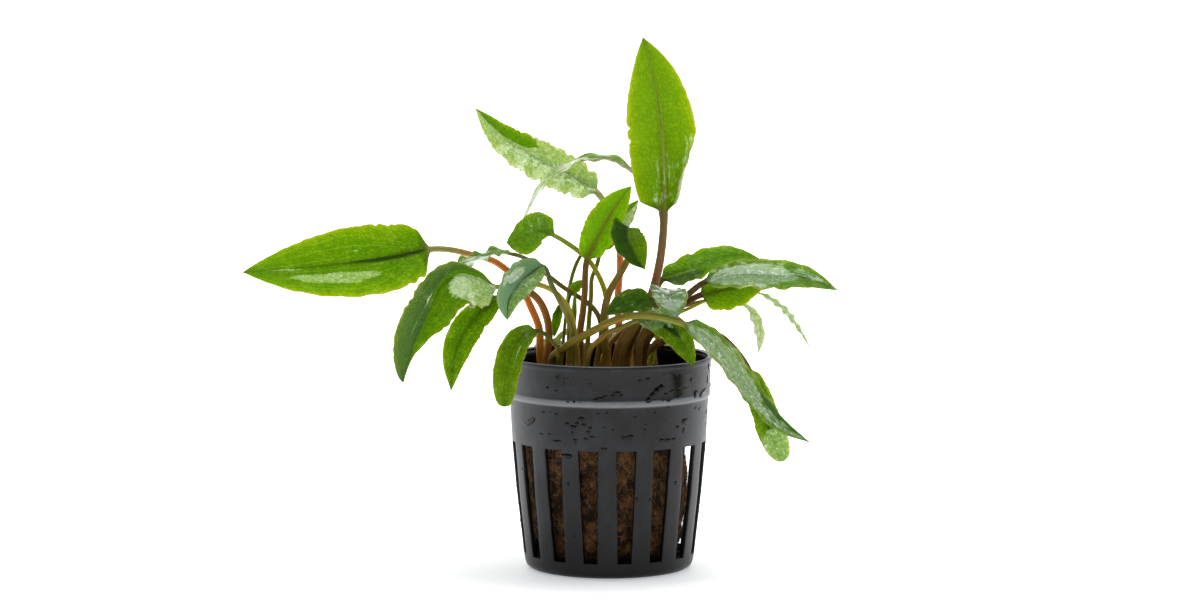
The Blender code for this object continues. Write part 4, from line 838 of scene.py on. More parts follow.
        "blade": [(-5.8, 9.8, 79.4), (-4.3, 10.2, 82.1), (-2.5, 10.6, 84.8), (-0.5, 11, 87.6),
                  (1.5, 11.4, 90.5)],
        "across": [(0.8, 0.3, -0.5), (0.8, 0.3, -0.5), (0.8, 0.3, -0.5)],
        "widths": (2.8, 2.8), "fold": 8, "curl": 0, "radii": (0.6, 0.45), "widest": (0.42, 0.42),
        "basePower": (0.5, 0.5), "tipPower": (0.9, 0.9),
        "wetSheenPatches": [(0.3, 0.2, 0.3, 0.7, 0.7)],
        "look": {"top": (100, 136, 14), "foot": (132, 121, 44), "middle": (158, 156, 51),
                 "neck": (120, 136, 50)},
    },
    {
        "name": "sproutLeaf", "node": "leaf_sprout",
        "stalk": [(-12.4, 1.6, 41), (-12.4, 1.6, 45.2), (-11.3, 1.6, 58.1), (-10.8, 1.5, 63.1),
                  (-10.2, 1.4, 66.4)],
        "blade": [(-9.5, 1.2, 68.4), (-8.8, 1, 69.4), (-7.9, 0.8, 70.5), (-7, 0.6, 71.2), (-6, 0.4, 71.9)],
        "across": [(0.6, 0.3, -0.7), (0.6, 0.3, -0.7), (0.6, 0.3, -0.7)],
        "widths": (1.4, 1.4), "fold": 8, "curl": 0, "radii": (0.5, 0.35), "widest": (0.42, 0.42),
        "basePower": (0.5, 0.5), "tipPower": (0.9, 0.9), "half": 16, "ruffle": (0.2, 0.2, 3),
        "look": {"top": (90, 120, 14), "foot": (119, 121, 33), "middle": (127, 141, 33),
                 "neck": (86, 106, 30)},
    },
    {
        "name": "spearLeaf", "node": "leaf_spear",
        "stalk": [(-9.2, -7, 41), (-9.2, -7, 45.2), (-9, -7, 56.6)],
        "blade": [(-8.8, -7, 60.1), (-8.7, -7, 62.6), (-8.6, -7, 65.1), (-8.5, -7, 67.6), (-8.3, -7, 70.5)],
        "across": [(1, 0.2, 0), (1, 0.2, 0), (1, 0.2, 0)],
        "widths": (0.75, 0.75), "fold": 24, "curl": 0, "radii": (0.6, 0.55), "widest": (0.4, 0.4),
        "basePower": (0.5, 0.5), "tipPower": (0.9, 0.9), "half": 14, "ruffle": (0.05, 0.05, 2), "teeth": (0, 0, 3),
        "look": {"top": (110, 146, 14), "foot": (106, 121, 22), "middle": (119, 151, 18),
                 "neck": (96, 130, 14)},
    },
    {
        "name": "backLeftLeaf", "node": "leaf_back_left",
        "stalk": [(-5.6, 11.6, 41), (-5.6, 11.6, 45.2), (-6.2, 15, 50), (-7.5, 20, 55), (-9.5, 26, 56.4)],
        "blade": [(-13, 31.5, 53.8), (-15.5, 36, 47.5), (-17, 38.5, 40), (-18, 39.5, 31), (-18.5, 39, 22)],
        "across": [(-0.9, -0.2, 0.1), (-0.95, -0.2, 0.1), (-0.95, -0.2, 0)],
        "widths": (6.2, 6.2), "fold": 8, "curl": 0, "radii": (1, 0.75), "widest": (0.42, 0.42),
        "basePower": (0.42, 0.42), "tipPower": (0.95, 0.95), "half": 30, "ruffle": (0.45, 0.45, 6),
        "wetSheenPatches": [(0.4, 0.3, 0.25, 0.4, 0.8)],
        "look": {"top": (96, 130, 8), "wet": 0.4},
    },
    {
        "name": "backMiddleLeaf", "node": "leaf_back_middle",
        "stalk": [(-0.6, 14, 41), (-0.6, 14, 45.2), (-0.4, 17, 50), (0, 21.5, 54.8), (0.6, 27, 56)],
        "blade": [(1.6, 32.5, 53), (3, 37, 46), (3.5, 39.5, 37), (4, 40, 28), (4.5, 39, 18)],
        "across": [(-0.98, 0.1, 0), (-0.98, 0.1, 0), (-0.98, 0.1, 0)],
        "widths": (6.6, 6.6), "fold": 8, "curl": 0, "radii": (1, 0.75), "widest": (0.42, 0.42),
        "basePower": (0.42, 0.42), "tipPower": (0.95, 0.95), "half": 30, "ruffle": (0.45, 0.45, 6),
        "wetSheenPatches": [(0.3, -0.3, 0.2, 0.4, 0.8)],
        "look": {"top": (100, 136, 8), "wet": 0.3},
    },
    {
        "name": "backRightLeaf", "node": "leaf_back_right",
        "stalk": [(5.4, 13.2, 41), (5.4, 13.2, 45.2), (6, 16.5, 50), (6.8, 21, 55), (9, 26.5, 56.6)],
        "blade": [(12.5, 31, 54), (15.5, 35, 48), (17, 37.5, 40), (18, 38.5, 31), (18.5, 38, 23)],
        "across": [(-0.85, 0.5, 0), (-0.85, 0.5, 0), (-0.85, 0.5, 0)],
        "widths": (5.2, 5.2), "fold": 8, "curl": 0, "radii": (1, 0.75), "widest": (0.42, 0.42),
        "basePower": (0.42, 0.42), "tipPower": (0.95, 0.95), "half": 30, "ruffle": (0.45, 0.45, 5),
        "wetSheenPatches": [(0.5, 0.2, 0.3, 0.3, 0.7)],
        "look": {"top": (104, 138, 10), "wet": 0.4},
    },
]

sheathScrap = {
    "name": "sheathScrap", "node": "sheath_scrap", "slotName": "plant_scrap",
    "stalk": [(10.6, -5.6, 41), (10.6, -5.6, 44.6), (10.4, -5.8, 48.5)],
    "blade": [(10.2, -6, 51), (10.3, -6.2, 52.2), (10.6, -6.4, 53.4), (10.9, -6.4, 54.6)],
    "across": [(0.9, 0.3, 0), (0.9, 0.3, 0)],
    "widths": (0.9, 0.9), "fold": 12, "curl": 0, "radii": (0.6, 0.5), "widest": (0.5, 0.5),
    "basePower": (0.5, 0.5), "tipPower": (0.7, 0.7), "half": 18, "ruffle": (0.3, 0.3, 2), "teeth": (0.12, 0.12, 4),
    "look": {"top": (196, 180, 60), "deep": (160, 140, 44), "light": (214, 200, 90),
             "under": (164, 152, 50), "foot": (150, 130, 50), "middle": (160, 140, 56),
             "neck": (166, 150, 52), "glow": 0.4},
}


# ---- net pot ----

pot = {
    "outline": [(0, 0), (3, 0), (7, 0), (9.5, 0), (12, 0), (14.6, 0), (17.0, 0), (18.6, 0.05), (19.5, 0.25),
                (20.15, 0.6), (20.6, 1.0), (20.9, 1.8), (21.1, 2.7), (21.3, 4.0)],
    "slotTop": 32.3, "slotRows": 26,
    "band": [(24.31, 34.4), (24.43, 36.6), (24.55, 39.0), (24.66, 41.2), (24.74, 42.6), (24.78, 43.0),
             (24.95, 43.25), (25.17, 43.55), (25.25, 43.9), (25.2, 44.3), (25.14, 44.7), (25.18, 46.2),
             (25.24, 48.2), (25.3, 50.2), (25.37, 51.7), (25.43, 52.1), (25.56, 52.3), (25.6, 52.6),
             (25.6, 53.1), (25.5, 53.42)],
    "slots": 16, "widthLow": 3.5, "widthHigh": 5.1, "turn": -1.2,
    "baseSlotWidth": 2.6, "baseInner": 7.0, "baseOuter": 14.6,
    "wall": 0.95, "ragged": 0.14,
    # turn from the front in degrees, height (mm), reach in turn and height, strength
    # damp patches; the wide ones high on the band also paint the shade under the leaves
    "dampAndShade": [(0, 50.5, 34, 2.6, 0.75), (32, 47.8, 26, 3.6, 1), (16, 50.5, 20, 2.6, 0.9), (-26, 49.5, 14, 2.2, 0.5),
             (14, 35.8, 8, 0.7, 1), (40, 34.9, 8, 0.6, 1), (-12, 38.5, 9, 2.4, 0.5), (-52, 38.6, 4, 0.8, 1),
             (-24, 15, 5, 5, 0.8), (0, 14, 5, 4, 0.6), (24, 13, 5, 4, 0.5), (-45, 13, 5, 5, 0.4),
             (170, 47, 30, 3, 0.8), (110, 38, 20, 4, 0.6), (-120, 37, 25, 4, 0.6), (-150, 48, 14, 3, 0.7)],
    # dust patches; the ones at the left and right sides also paint the sheen those sides reflect
    "dustAndSheen": [(-62, 38, 26, 14, 1), (-62, 48, 24, 6, 0.8), (64, 38, 24, 12, 1), (64, 46, 16, 4, 0.6),
              (-26, 36, 16, 5, 0.35), (-24, 46, 14, 3, 0.35), (130, 38, 30, 8, 0.7), (-110, 30, 26, 9, 0.6)],
}


def wallRadius(z):
    # outer radius of the pot's side
    points = [(21.3, 4.0), (23.1, 19.7), (24.2, 32.3), (24.75, 42.9), (25.15, 44.6), (25.4, 52.1), (25.6, 53.5)]
    for (r0, z0), (r1, z1) in zip(points, points[1:]):
        if z <= z1:
            return r0 + (r1 - r0) * (max(z, z0) - z0) / (z1 - z0)
    return points[-1][0]


def makePot():
    rows = [(r, z, 0) for r, z in pot["outline"]]
    for k in range(1, pot["slotRows"] + 1):
        z = 4.0 + (pot["slotTop"] - 4.0) * k / pot["slotRows"]
        rows.append((wallRadius(z), z, 1))
    rows += [(r, z, 0) for r, z in pot["band"]]
    period = 2 * math.pi / pot["slots"]

    def ribHalf(row, rib):
        r, z, inSlots = rows[row]
        if z < 0.01 and rib % 2 and pot["baseInner"] - 0.1 <= r <= pot["baseOuter"] + 0.1:
            return math.asin(pot["baseSlotWidth"] / 2 / r)
        share = min(max((z - 4.0) / (pot["slotTop"] - 4.0), 0), 1)
        width = pot["widthLow"] + (pot["widthHigh"] - pot["widthLow"]) * share
        return period / 2 - math.asin(width / 2 / max(r, 20.2))

    def spot(i, j):
        k, column = divmod(i, 10)
        r, z, inSlots = rows[j]
        start = k * period + ribHalf(j, k)
        end = (k + 1) * period - ribHalf(j, k + 1)
        if column <= 5:
            angle = start + (end - start) * column / 5
            if inSlots and column in (0, 5):
                angle += pot["ragged"] / r * noise.noise(Vector((k * 7.1 + column, z * 0.9, 2)))
        else:
            following = (k + 1) * period + ribHalf(j, k + 1)
            angle = end + (following - end) * (column - 5) / 5
        angle += math.radians(pot["turn"])
        r += 0.05 * noise.noise(Vector((math.cos(angle) * 2, math.sin(angle) * 2, z * 0.06))) if z > 2 else 0
        return Vector((math.sin(angle) * r, -math.cos(angle) * r, z))

    columns = 10 * pot["slots"]
    bm = bmesh.new()
    bmesh.ops.create_grid(bm, x_segments=columns, y_segments=len(rows) - 1, size=1.0, calc_uvs=True)
    holes = []
    for face in bm.faces:
        centre = face.calc_center_median()
        i = int((centre.x + 1) / 2 * columns)
        j = int((centre.y + 1) / 2 * (len(rows) - 1))
        k, column = divmod(i, 10)
        if column < 5 and rows[j + 1][2] and rows[j][1] >= 3.9:
            holes.append(face)
        elif column >= 5 and (k + 1) % 2 and rows[j][1] < 0.01 and pot["baseInner"] - 0.1 <= rows[j][0] < pot["baseOuter"] - 0.1:
            holes.append(face)
    for vert in bm.verts:
        i = round((vert.co.x + 1) / 2 * columns)
        j = round((vert.co.y + 1) / 2 * (len(rows) - 1))
        vert.co = spot(i, j) * mm
    bmesh.ops.delete(bm, geom=holes, context="FACES")
    bmesh.ops.remove_doubles(bm, verts=bm.verts, dist=0.0005 * mm)
    bmesh.ops.recalc_face_normals(bm, faces=bm.faces)
    bmesh.ops.solidify(bm, geom=bm.faces[:], thickness=pot["wall"] * mm)
    bmesh.ops.recalc_face_normals(bm, faces=bm.faces)
    sharp = [edge for edge in bm.edges if len(edge.link_faces) == 2 and edge.calc_face_angle(0) > math.radians(48)]
    bmesh.ops.bevel(bm, geom=sharp, offset=0.14 * mm, offset_type="OFFSET", segments=2, profile=0.5,
                    affect="EDGES", material=-1, clamp_overlap=True)
    layer = bm.verts.layers.float_color.new("potTouch")
    for vert in bm.verts:
        turn, z = math.degrees(math.atan2(vert.co.x, -vert.co.y)), vert.co.z / mm
        outside = vert.co.xy.length / mm > wallRadius(z) - pot["wall"] * 0.7 or z < 1.0
        vert[layer] = (inPatch(pot["dampAndShade"], turn, z), inPatch(pot["dustAndSheen"], turn, z), float(outside), 1.0)
    print("pot:", len(sharp), "sharp edges,", len(bm.faces), "faces")
    return putInScene(bm, "netPot", potFinish(), ["net_pot"])


def potFinish():
    f = Finish("potPlastic")
    touch = f.node("ShaderNodeAttribute", {"attribute_name": "potTouch"}, "Color")
    dampAndShade = f.node("ShaderNodeSeparateColor", {}, "Red", touch)
    dustAndSheen = f.node("ShaderNodeSeparateColor", {}, "Green", touch)
    outside = f.node("ShaderNodeSeparateColor", {}, "Blue", touch)
    height = f.node("ShaderNodeSeparateXYZ", {}, "Z", f.node("ShaderNodeTexCoord", {}, "Object")) * (1 / mm)
    rings = f.grain(0.3, 4.0, 0.75, (0.04, 0.04, 1.0))
    upright = f.grain(0.5, 4.0, 0.7, (1.0, 1.0, 0.05))
    cloud = f.grain(6.0, 3.0, 0.5, (1.0, 1.0, 0.6))
    speck = f.grain(0.55, 3.0)
    smear = f.grain(2.2, 2.0, 0.4, (1.0, 1.0, 0.6), 0.8)
    high = height.band(42.5, 44.0)
    brushed = high * rings + (1.0 - high) * (upright * 0.55 + rings * 0.45)
    # haze of dust, lighter at the left and right sides as a painted reflection
    haze = (cloud.band(0.35, 0.75) * 0.35 + dustAndSheen * 0.55 + 0.1) * (0.45 + brushed)
    tone = f.blend(haze.clamped(), paint(11, 11, 13), paint(56, 58, 63))
    tone = f.blend(brushed.band(0.56, 0.74) * (0.25 + dustAndSheen * 0.3), tone, paint(78, 80, 86))
    # painted highlight: lighter grey on the ridge and the rim top
    crestHighlight = (height.band(42.9, 43.5) * height.band(45.0, 44.3) + height.band(53.05, 53.3)) * (0.5 + rings)
    tone = f.blend(crestHighlight.clamped() * outside, tone, paint(120, 122, 126))
    # painted shade: darker towards the bottom
    tone = f.blend(height.band(16.0, 3.0) * 0.7, tone, paint(12, 12, 11))
    # wet patches darken the plastic; on the band under the leaves this darkening is also painted shade
    wet = (dampAndShade + (smear - 0.5) * 0.9 + (speck - 0.5) * 0.12).band(0.5, 0.6)
    tone = f.blend(wet * 0.9, tone, paint(6, 6, 7))
    tone = f.blend(outside, paint(7, 7, 9), tone)
    rough = 0.4 + (brushed - 0.5) * 0.35 + (speck - 0.5) * 0.12 - wet * 0.2 - (1.0 - outside) * 0.12
    normal = f.bumps((brushed, 0.06, 0.4), (speck, 0.03, 0.2), (cloud, 0.25, 0.1), (wet, 0.06, 0.4))
    return f.close(Base_Color=tone, Roughness=rough, Normal=normal, Specular_IOR_Level=0.4)


# ---- water drops on the pot ----

drops = {
    # turn from the front in degrees, height, half width and half height in mm, tilt in degrees
    "seen": [
        (-51.7, 38.7, 1.81, 0.75, 25), (-55.9, 37.8, 1.11, 0.5, 0), (-60.4, 44.1, 1.01, 0.37, 0),
        (-24.9, 39.0, 0.69, 0.37, -10), (-21.2, 38.3, 0.93, 0.5, 0), (-18.8, 39.1, 0.53, 0.62, 0),
        (-16.3, 40.4, 0.91, 0.5, 10), (-14.6, 38.9, 0.64, 0.37, 0), (-11.1, 38.2, 0.51, 0.37, 0),
        (-12.3, 37.2, 0.51, 0.37, 0), (-13.5, 35.5, 0.64, 0.37, 0), (-10.0, 36.0, 0.76, 0.31, 0),
        (-20.2, 35.1, 0.53, 0.31, 0), (-31.8, 34.5, 1.32, 0.31, 5), (-43.4, 35.9, 0.69, 0.25, 0),
        (-37.3, 36.1, 0.47, 0.25, 0), (-7.4, 45.2, 0.75, 0.5, 10), (-4.6, 45.5, 1.0, 0.62, 15),
        (-2.4, 46.0, 0.62, 0.5, 30), (2.0, 46.2, 0.5, 0.5, 30), (4.2, 47.0, 1.0, 0.37, 0),
        (6.5, 46.2, 0.5, 0.62, -30), (-23.7, 44.5, 0.41, 0.25, 0), (-20.1, 44.6, 0.4, 0.25, 0),
        (-16.6, 44.4, 0.39, 0.25, 0), (22.6, 45.0, 1.08, 0.87, 40), (25.0, 45.9, 1.24, 1.0, 45),
        (27.5, 46.9, 1.26, 1.0, 45), (30.0, 47.8, 1.01, 0.87, 40), (33.3, 46.2, 0.6, 0.37, 0),
        (37.4, 46.8, 0.78, 0.37, 20), (42.5, 47.6, 0.68, 0.37, 0), (40.5, 45.2, 0.49, 0.25, 0),
        (67.0, 45.0, 2.23, 0.75, 20), (58.1, 45.2, 0.94, 1.0, 0), (76.7, 51.2, 0.89, 1.0, 0),
        (75.5, 48.0, 0.71, 1.0, 0), (89.2, 45.8, 0.71, 0.62, 0), (60.1, 41.6, 0.75, 0.37, 0),
        (65.4, 41.1, 0.9, 0.37, 0), (81.6, 39.7, 0.71, 1.0, 0), (49.3, 38.9, 1.15, 0.75, 0),
        (43.6, 37.6, 0.69, 0.37, 0), (48.8, 36.6, 0.57, 0.75, 0), (8.4, 35.8, 0.76, 0.5, 10),
        (11.9, 36.0, 0.89, 0.62, 0), (32.0, 34.8, 0.88, 0.37, 0), (36.3, 34.6, 1.08, 0.44, 0),
        (40.7, 34.7, 0.82, 0.37, 0), (20.9, 37.6, 0.4, 0.25, 0), (2.1, 37.8, 0.37, 0.25, 0),
        (-3.1, 33.1, 0.87, 0.31, 0), (-24.8, 31.0, 1.23, 0.62, 0), (-28.1, 31.2, 0.56, 0.37, 0),
        (-25.5, 24.0, 0.41, 0.5, 0), (44.5, 23.6, 0.7, 0.5, 0), (17.0, 20.2, 0.39, 0.62, 0),
        (25.6, 20.0, 0.41, 0.5, 0), (17.1, 49.8, 0.52, 0.37, 0), (21.8, 50.2, 0.67, 0.31, 0),
        (-10.7, 49.1, 0.38, 0.25, 0), (-37.1, 47.6, 0.47, 0.37, 0), (-31.1, 47.0, 0.44, 0.25, 0),
        (-46.1, 43.7, 0.54, 0.25, 0), (-1.3, 42.0, 0.37, 0.25, 0), (14.7, 40.9, 0.51, 0.25, 0),
        (26.9, 41.6, 0.42, 0.25, 0), (35.5, 42.9, 0.61, 0.25, 0), (-6.4, 41.7, 0.38, 0.25, 0),
        (-31.9, 41.2, 0.44, 0.25, 0), (-41.2, 41.4, 0.5, 0.25, 0), (53.4, 48.9, 0.63, 0.5, 0),
        (48.2, 47.1, 0.75, 0.25, 0),
    ],
    "strewn": 190, "seed": 11, "flat": 0.17,
}


def dropFinish():
    f = Finish("potDrops")
    tone = f.blend(f.grain(1.2).band(0.4, 0.7), paint(3, 3, 4), paint(14, 15, 16))
    return f.close(Base_Color=tone, Roughness=0.12 + f.grain(0.8) * 0.12, Specular_IOR_Level=0.3)


def makeDrops():
    rng = random.Random(drops["seed"])
    chosen = list(drops["seen"])
    while len(chosen) < drops["strewn"]:
        z = rng.uniform(33.5, 52) if rng.random() < 0.75 else rng.uniform(5, 33)
        turn = rng.uniform(75, 285) if rng.random() < 0.8 else rng.uniform(0, 360)
        if z < 33.5:
            turn = round(turn / 22.5) * 22.5 + pot["turn"] + rng.uniform(-4, 4)
        if 42 < z < 45:
            continue
        size = rng.uniform(0.16, 0.38) * (1 if rng.random() < 0.85 else 1.6)
        chosen.append((turn, z, size, size * rng.uniform(0.5, 1.6), rng.uniform(-20, 20)))
    bm = bmesh.new()
    for turn, z, wide, tall, tilt in chosen:
        angle = math.radians(turn)
        out = Vector((math.sin(angle), -math.cos(angle), 0))
        place = Matrix.Translation((out * wallRadius(z) + Vector((0, 0, z))) * mm)
        turned = (out.to_track_quat("Z", "Y").to_matrix() @ Matrix.Rotation(math.radians(tilt), 3, "Z")).to_4x4()
        thick = drops["flat"] * (0.25 + min(wide, tall))
        flat = Matrix.Diagonal((wide, tall, thick, 1.0)) * mm
        flat[3][3] = 1.0
        made = bmesh.ops.create_icosphere(bm, subdivisions=3, radius=1.0, matrix=place @ turned @ flat)["verts"]
        ragged = 0.35 * min(wide, tall) * mm
        for vert in made:
            spot = vert.co / (0.45 * mm)
            vert.co += turned.to_3x3() @ Vector((noise.noise(spot), noise.noise(spot + Vector((5, 5, 5))), 0)) * ragged
    return putInScene(bm, "potDrops", dropFinish())


# ---- mineral wool ----

wool = {
    "levels": [(1.9, 0.0, 0), (1.9, 6.0, 0), (1.95, 11.0, 0), (2.2, 14.2, 0), (3.4, 16.0, 0), (7.0, 18.1, -0.1),
               (14.0, 19.5, -0.2), (23.0, 20.0, -0.4), (31.0, 20.0, -1.2), (38.0, 20.0, -1.4), (42.5, 19.7, -1.4),
               (43.8, 18.4, -1.4), (44.1, 14.0, -1.2), (44.1, 8.0, -0.8), (44.0, 0.0, 0)],
    "around": 200, "up": 150, "lump": 0.9, "tuft": 0.36, "fibres": 2100, "fibreRadius": 0.04, "seed": 5,
}


def woolSpot(around, up):
    levels = wool["levels"]
    x = up * (len(levels) - 1)
    i = min(int(x), len(levels) - 2)
    z, r, shift = (levels[i][k] + (levels[i + 1][k] - levels[i][k]) * (x - i) for k in range(3))
    angle = 2 * math.pi * around
    return Vector((math.cos(angle) * r + shift, math.sin(angle) * r + shift, z))


def woolRelief(point):
    big = noise.noise(point * 0.22) * 0.6 + noise.noise(point * 0.5 + Vector((9, 2, 4))) * 0.4
    small = noise.noise(Vector((point.x * 1.6, point.y * 1.6, point.z * 0.9))) + 0.5 * noise.noise(point * 3.4)
    return wool["lump"] * big + wool["tuft"] * small - 0.4


def makeWool():
    def spot(i, j):
        around, up = (i % wool["around"]) / wool["around"], j / wool["up"]
        point = woolSpot(around, up)
        outward = Vector((point.x, point.y, 0))
        outward = outward.normalized() if outward.length > 0.5 else Vector((0, 0, 0))
        if point.z > 43.5:
            outward = Vector((0, 0, 1))
        elif point.z < 2.5:
            outward = Vector((0, 0, -0.2))
        return point + outward * woolRelief(point)

    bm = wrapGrid(wool["around"], wool["up"], spot, tolerance=0.01)
    bmesh.ops.recalc_face_normals(bm, faces=bm.faces)
    finish = woolFinish()
    body = putInScene(bm, "woolPlug", finish, ["wool_plug"])
    makeFibres(finish)
    return body


def makeFibres(finish):
    rng = random.Random(wool["seed"])
    curve = bpy.data.curves.new("fibreLines", "CURVE")
    curve.dimensions = "3D"
    curve.bevel_depth = wool["fibreRadius"] * mm
    curve.bevel_resolution = 0
    for n in range(wool["fibres"]):
        around, up = rng.random(), rng.uniform(0.26, 0.74) if rng.random() < 0.9 else rng.uniform(0.78, 0.95)
        heading = rng.gauss(math.pi / 2, 0.9)
        length = rng.uniform(2.0, 7)
        line = curve.splines.new("POLY")
        steps = 5
        line.points.add(steps)
        for k in range(steps + 1):
            base = woolSpot(around, up)
            lift = woolRelief(base) + 0.12 + 0.22 * rng.random()
            outward = Vector((base.x, base.y, 0)).normalized() if base.z < 43.5 else Vector((0, 0, 1))
            line.points[k].co = (*((base + outward * lift) * mm), 1.0)
            line.points[k].radius = 1.0 - 0.5 * abs(k / steps - 0.4)
            heading += rng.gauss(0, 0.6)
            around += math.cos(heading) * length / steps / 118
            up = min(max(up + math.sin(heading) * length / steps / 85, 0.24), 0.97)
    holder = bpy.data.objects.new("fibreLines", curve)
    mesh = bpy.data.meshes.new_from_object(holder)
    bm = bmesh.new()
    bm.from_mesh(mesh)
    bmesh.ops.holes_fill(bm, edges=bm.edges, sides=0)
    bmesh.ops.recalc_face_normals(bm, faces=bm.faces)
    bpy.data.objects.remove(holder)
    bpy.data.meshes.remove(mesh)
    return putInScene(bm, "woolFibres", fibreFinish())


def woolFinish():
    f = Finish("mineralWool")
    warp = f.node("ShaderNodeTexNoise", {}, "Color", Vector=f.place(), Scale=1 / 2.2, Detail=3.0)
    spot = f.node("ShaderNodeVectorMath", {"operation": "MULTIPLY_ADD"}, 0, warp, (3.0, 3.0, 3.0), f.place((1.0, 1.0, 0.75)))
    lumps = f.node("ShaderNodeTexVoronoi", {"feature": "DISTANCE_TO_EDGE"}, "Distance", Vector=spot, Scale=1 / 4.6)
    clumps = f.grain(3.6, 4.0, 0.6)
    strands = f.grain(0.55, 5.0, 0.75, (1.0, 1.0, 0.45), 2.0)
    fine = f.grain(0.22, 4.0, 0.75)
    tone = f.blend(clumps.band(0.36, 0.66), paint(66, 42, 22), paint(146, 106, 64))
    tone = f.blend(strands.band(0.5, 0.66) * 0.8, tone, paint(192, 156, 112))
    tone = f.blend(strands.band(0.47, 0.34) * 0.85, tone, paint(26, 15, 8))
    # painted shade: near-black in the creases between the lumps
    tone = f.blend((lumps + (clumps - 0.5) * 0.5).band(0.12, 0.02) * 0.7, tone, paint(10, 6, 3))
    tone = f.blend(fine.band(0.5, 0.36) * 0.6, tone, paint(20, 12, 6))
    normal = f.bumps((lumps.band(0.0, 0.3), 0.9, 0.7), (strands, 0.6, 1.0), (fine, 0.25, 0.8))
    return f.close(Base_Color=tone, Roughness=0.8 - strands * 0.25, Normal=normal, Specular_IOR_Level=0.35)


def fibreFinish():
    f = Finish("woolFibre")
    clumps = f.grain(2.6, 3.0)
    along = f.grain(0.8, 2.0)
    tone = f.blend(clumps.band(0.35, 0.65), paint(84, 56, 30), paint(186, 148, 100))
    tone = f.blend(along.band(0.5, 0.7) * 0.6, tone, paint(36, 22, 11))
    return f.close(Base_Color=tone, Roughness=0.6 + along * 0.2, Specular_IOR_Level=0.3)


# ---- stub and scraps ----

stub = {"line": [(-9.3, -15, 41), (-9.3, -15, 44.6), (-9.4, -15, 48.6), (-10.3, -14.9, 52.6)], "radius": 0.95}


def makeStub():
    path = Path(stub["line"])
    around, steps, cap = 40, 44, 5
    rows = []
    for j in range(steps + cap + 1):
        share = min(j / steps, 1.0)
        centre = path.at(path.lengths[-1] * share, path.points)
        heading = path.at(path.lengths[-1] * share, path.headings).normalized()
        side = squareTo(Vector((1, 0, 0.2)), heading)
        up = heading.cross(side)
        shrink = 1.0 if j <= steps else (1 - (j - steps) / cap) * 0.92
        dip = -0.5 * math.sin(math.pi * min(max((j - steps) / cap, 0), 1) / 2) if j > steps else 0.0
        ring = []
        for i in range(around + 1):
            angle = 2 * math.pi * (i % around) / around
            radius = stub["radius"] * (1 + 0.06 * math.sin(7 * angle) + 0.05 * noise.noise(Vector((angle, share * 9, 3))))
            ragged = 0.25 * noise.noise(Vector((math.cos(angle) * 1.5, math.sin(angle) * 1.5, 8))) * (share > 0.97)
            ring.append(centre + (side * math.cos(angle) + up * math.sin(angle)) * radius * shrink
                        + heading * (dip + ragged))
        rows.append(ring)
    bm = wrapGrid(around, steps + cap, lambda i, j: rows[j][i])
    closeSkin(bm)
    return putInScene(bm, "cutStub", stubFinish(), ["cut_stub"])


def stubFinish():
    f = Finish("oldStalk")
    streaks = f.grain(0.5, 4.0, 0.6, (1.0, 1.0, 0.12))
    spots = f.grain(1.1, 3.0)
    tone = f.blend(streaks.band(0.35, 0.7), paint(132, 98, 50), paint(196, 162, 104))
    tone = f.blend(spots.band(0.55, 0.72) * 0.7, tone, paint(84, 54, 26))
    normal = f.bumps((streaks, 0.12, 0.6), (spots, 0.1, 0.3))
    return f.close(Base_Color=tone, Roughness=0.55 + spots * 0.2, Normal=normal)


slotScrap = {"turn": 200.0, "levels": [(8, 0.25), (11.5, 0.9), (15.5, 0.55), (19.5, 0.8), (23.5, 1.0), (27.5, 0.3)]}


def makeSlotScrap():
    # strip of old leaf pressed against the inside of the wall, seen through the left slot
    turn = math.radians(slotScrap["turn"])
    out, along = Vector((math.cos(turn), math.sin(turn), 0)), Vector((-math.sin(turn), math.cos(turn), 0))
    levels = slotScrap["levels"]
    around, steps = 32, 90
    rows = []
    for j in range(steps + 1):
        z = levels[0][0] + (levels[-1][0] - levels[0][0]) * j / steps
        width = next(w0 + (w1 - w0) * (z - z0) / (z1 - z0) for (z0, w0), (z1, w1) in zip(levels, levels[1:]) if z <= z1 + 1e-6)
        centre = out * (19.6 + (z - 4.6) * 0.103) + Vector((0, 0, z))
        ring = []
        for i in range(around + 1):
            angle = 2 * math.pi * (i % around) / around
            frill = 1 + 0.3 * noise.noise(Vector((math.cos(angle), z * 1.1, 4)))
            sway = 0.18 * noise.noise(Vector((z * 0.6, math.cos(angle), 1)))
            ring.append(centre + along * math.cos(angle) * width * frill + out * (math.sin(angle) * 0.14 + sway))
        rows.append(ring)
    bm = wrapGrid(around, steps, lambda i, j: rows[j][i])
    closeSkin(bm)
    return putInScene(bm, "slotScrap", scrapFinish(), ["slot_scrap"])


def scrapFinish():
    f = Finish("plantScrap")
    streaks = f.grain(0.8, 4.0, 0.6, (1.0, 1.0, 0.2))
    spots = f.grain(1.3, 3.0)
    tone = f.blend(streaks.band(0.35, 0.7), paint(104, 106, 20), paint(168, 160, 52))
    tone = f.blend(spots.band(0.52, 0.7) * 0.6, tone, paint(96, 70, 24))
    normal = f.bumps((streaks, 0.12, 0.5), (spots, 0.1, 0.4))
    return f.close(Base_Color=tone, Roughness=0.45 + spots * 0.2, Normal=normal,
                   Subsurface_Weight=0.2, Subsurface_Radius=(0.7, 0.8, 0.2), Subsurface_Scale=1.0 * mm)


# ---- floor, light and camera ----

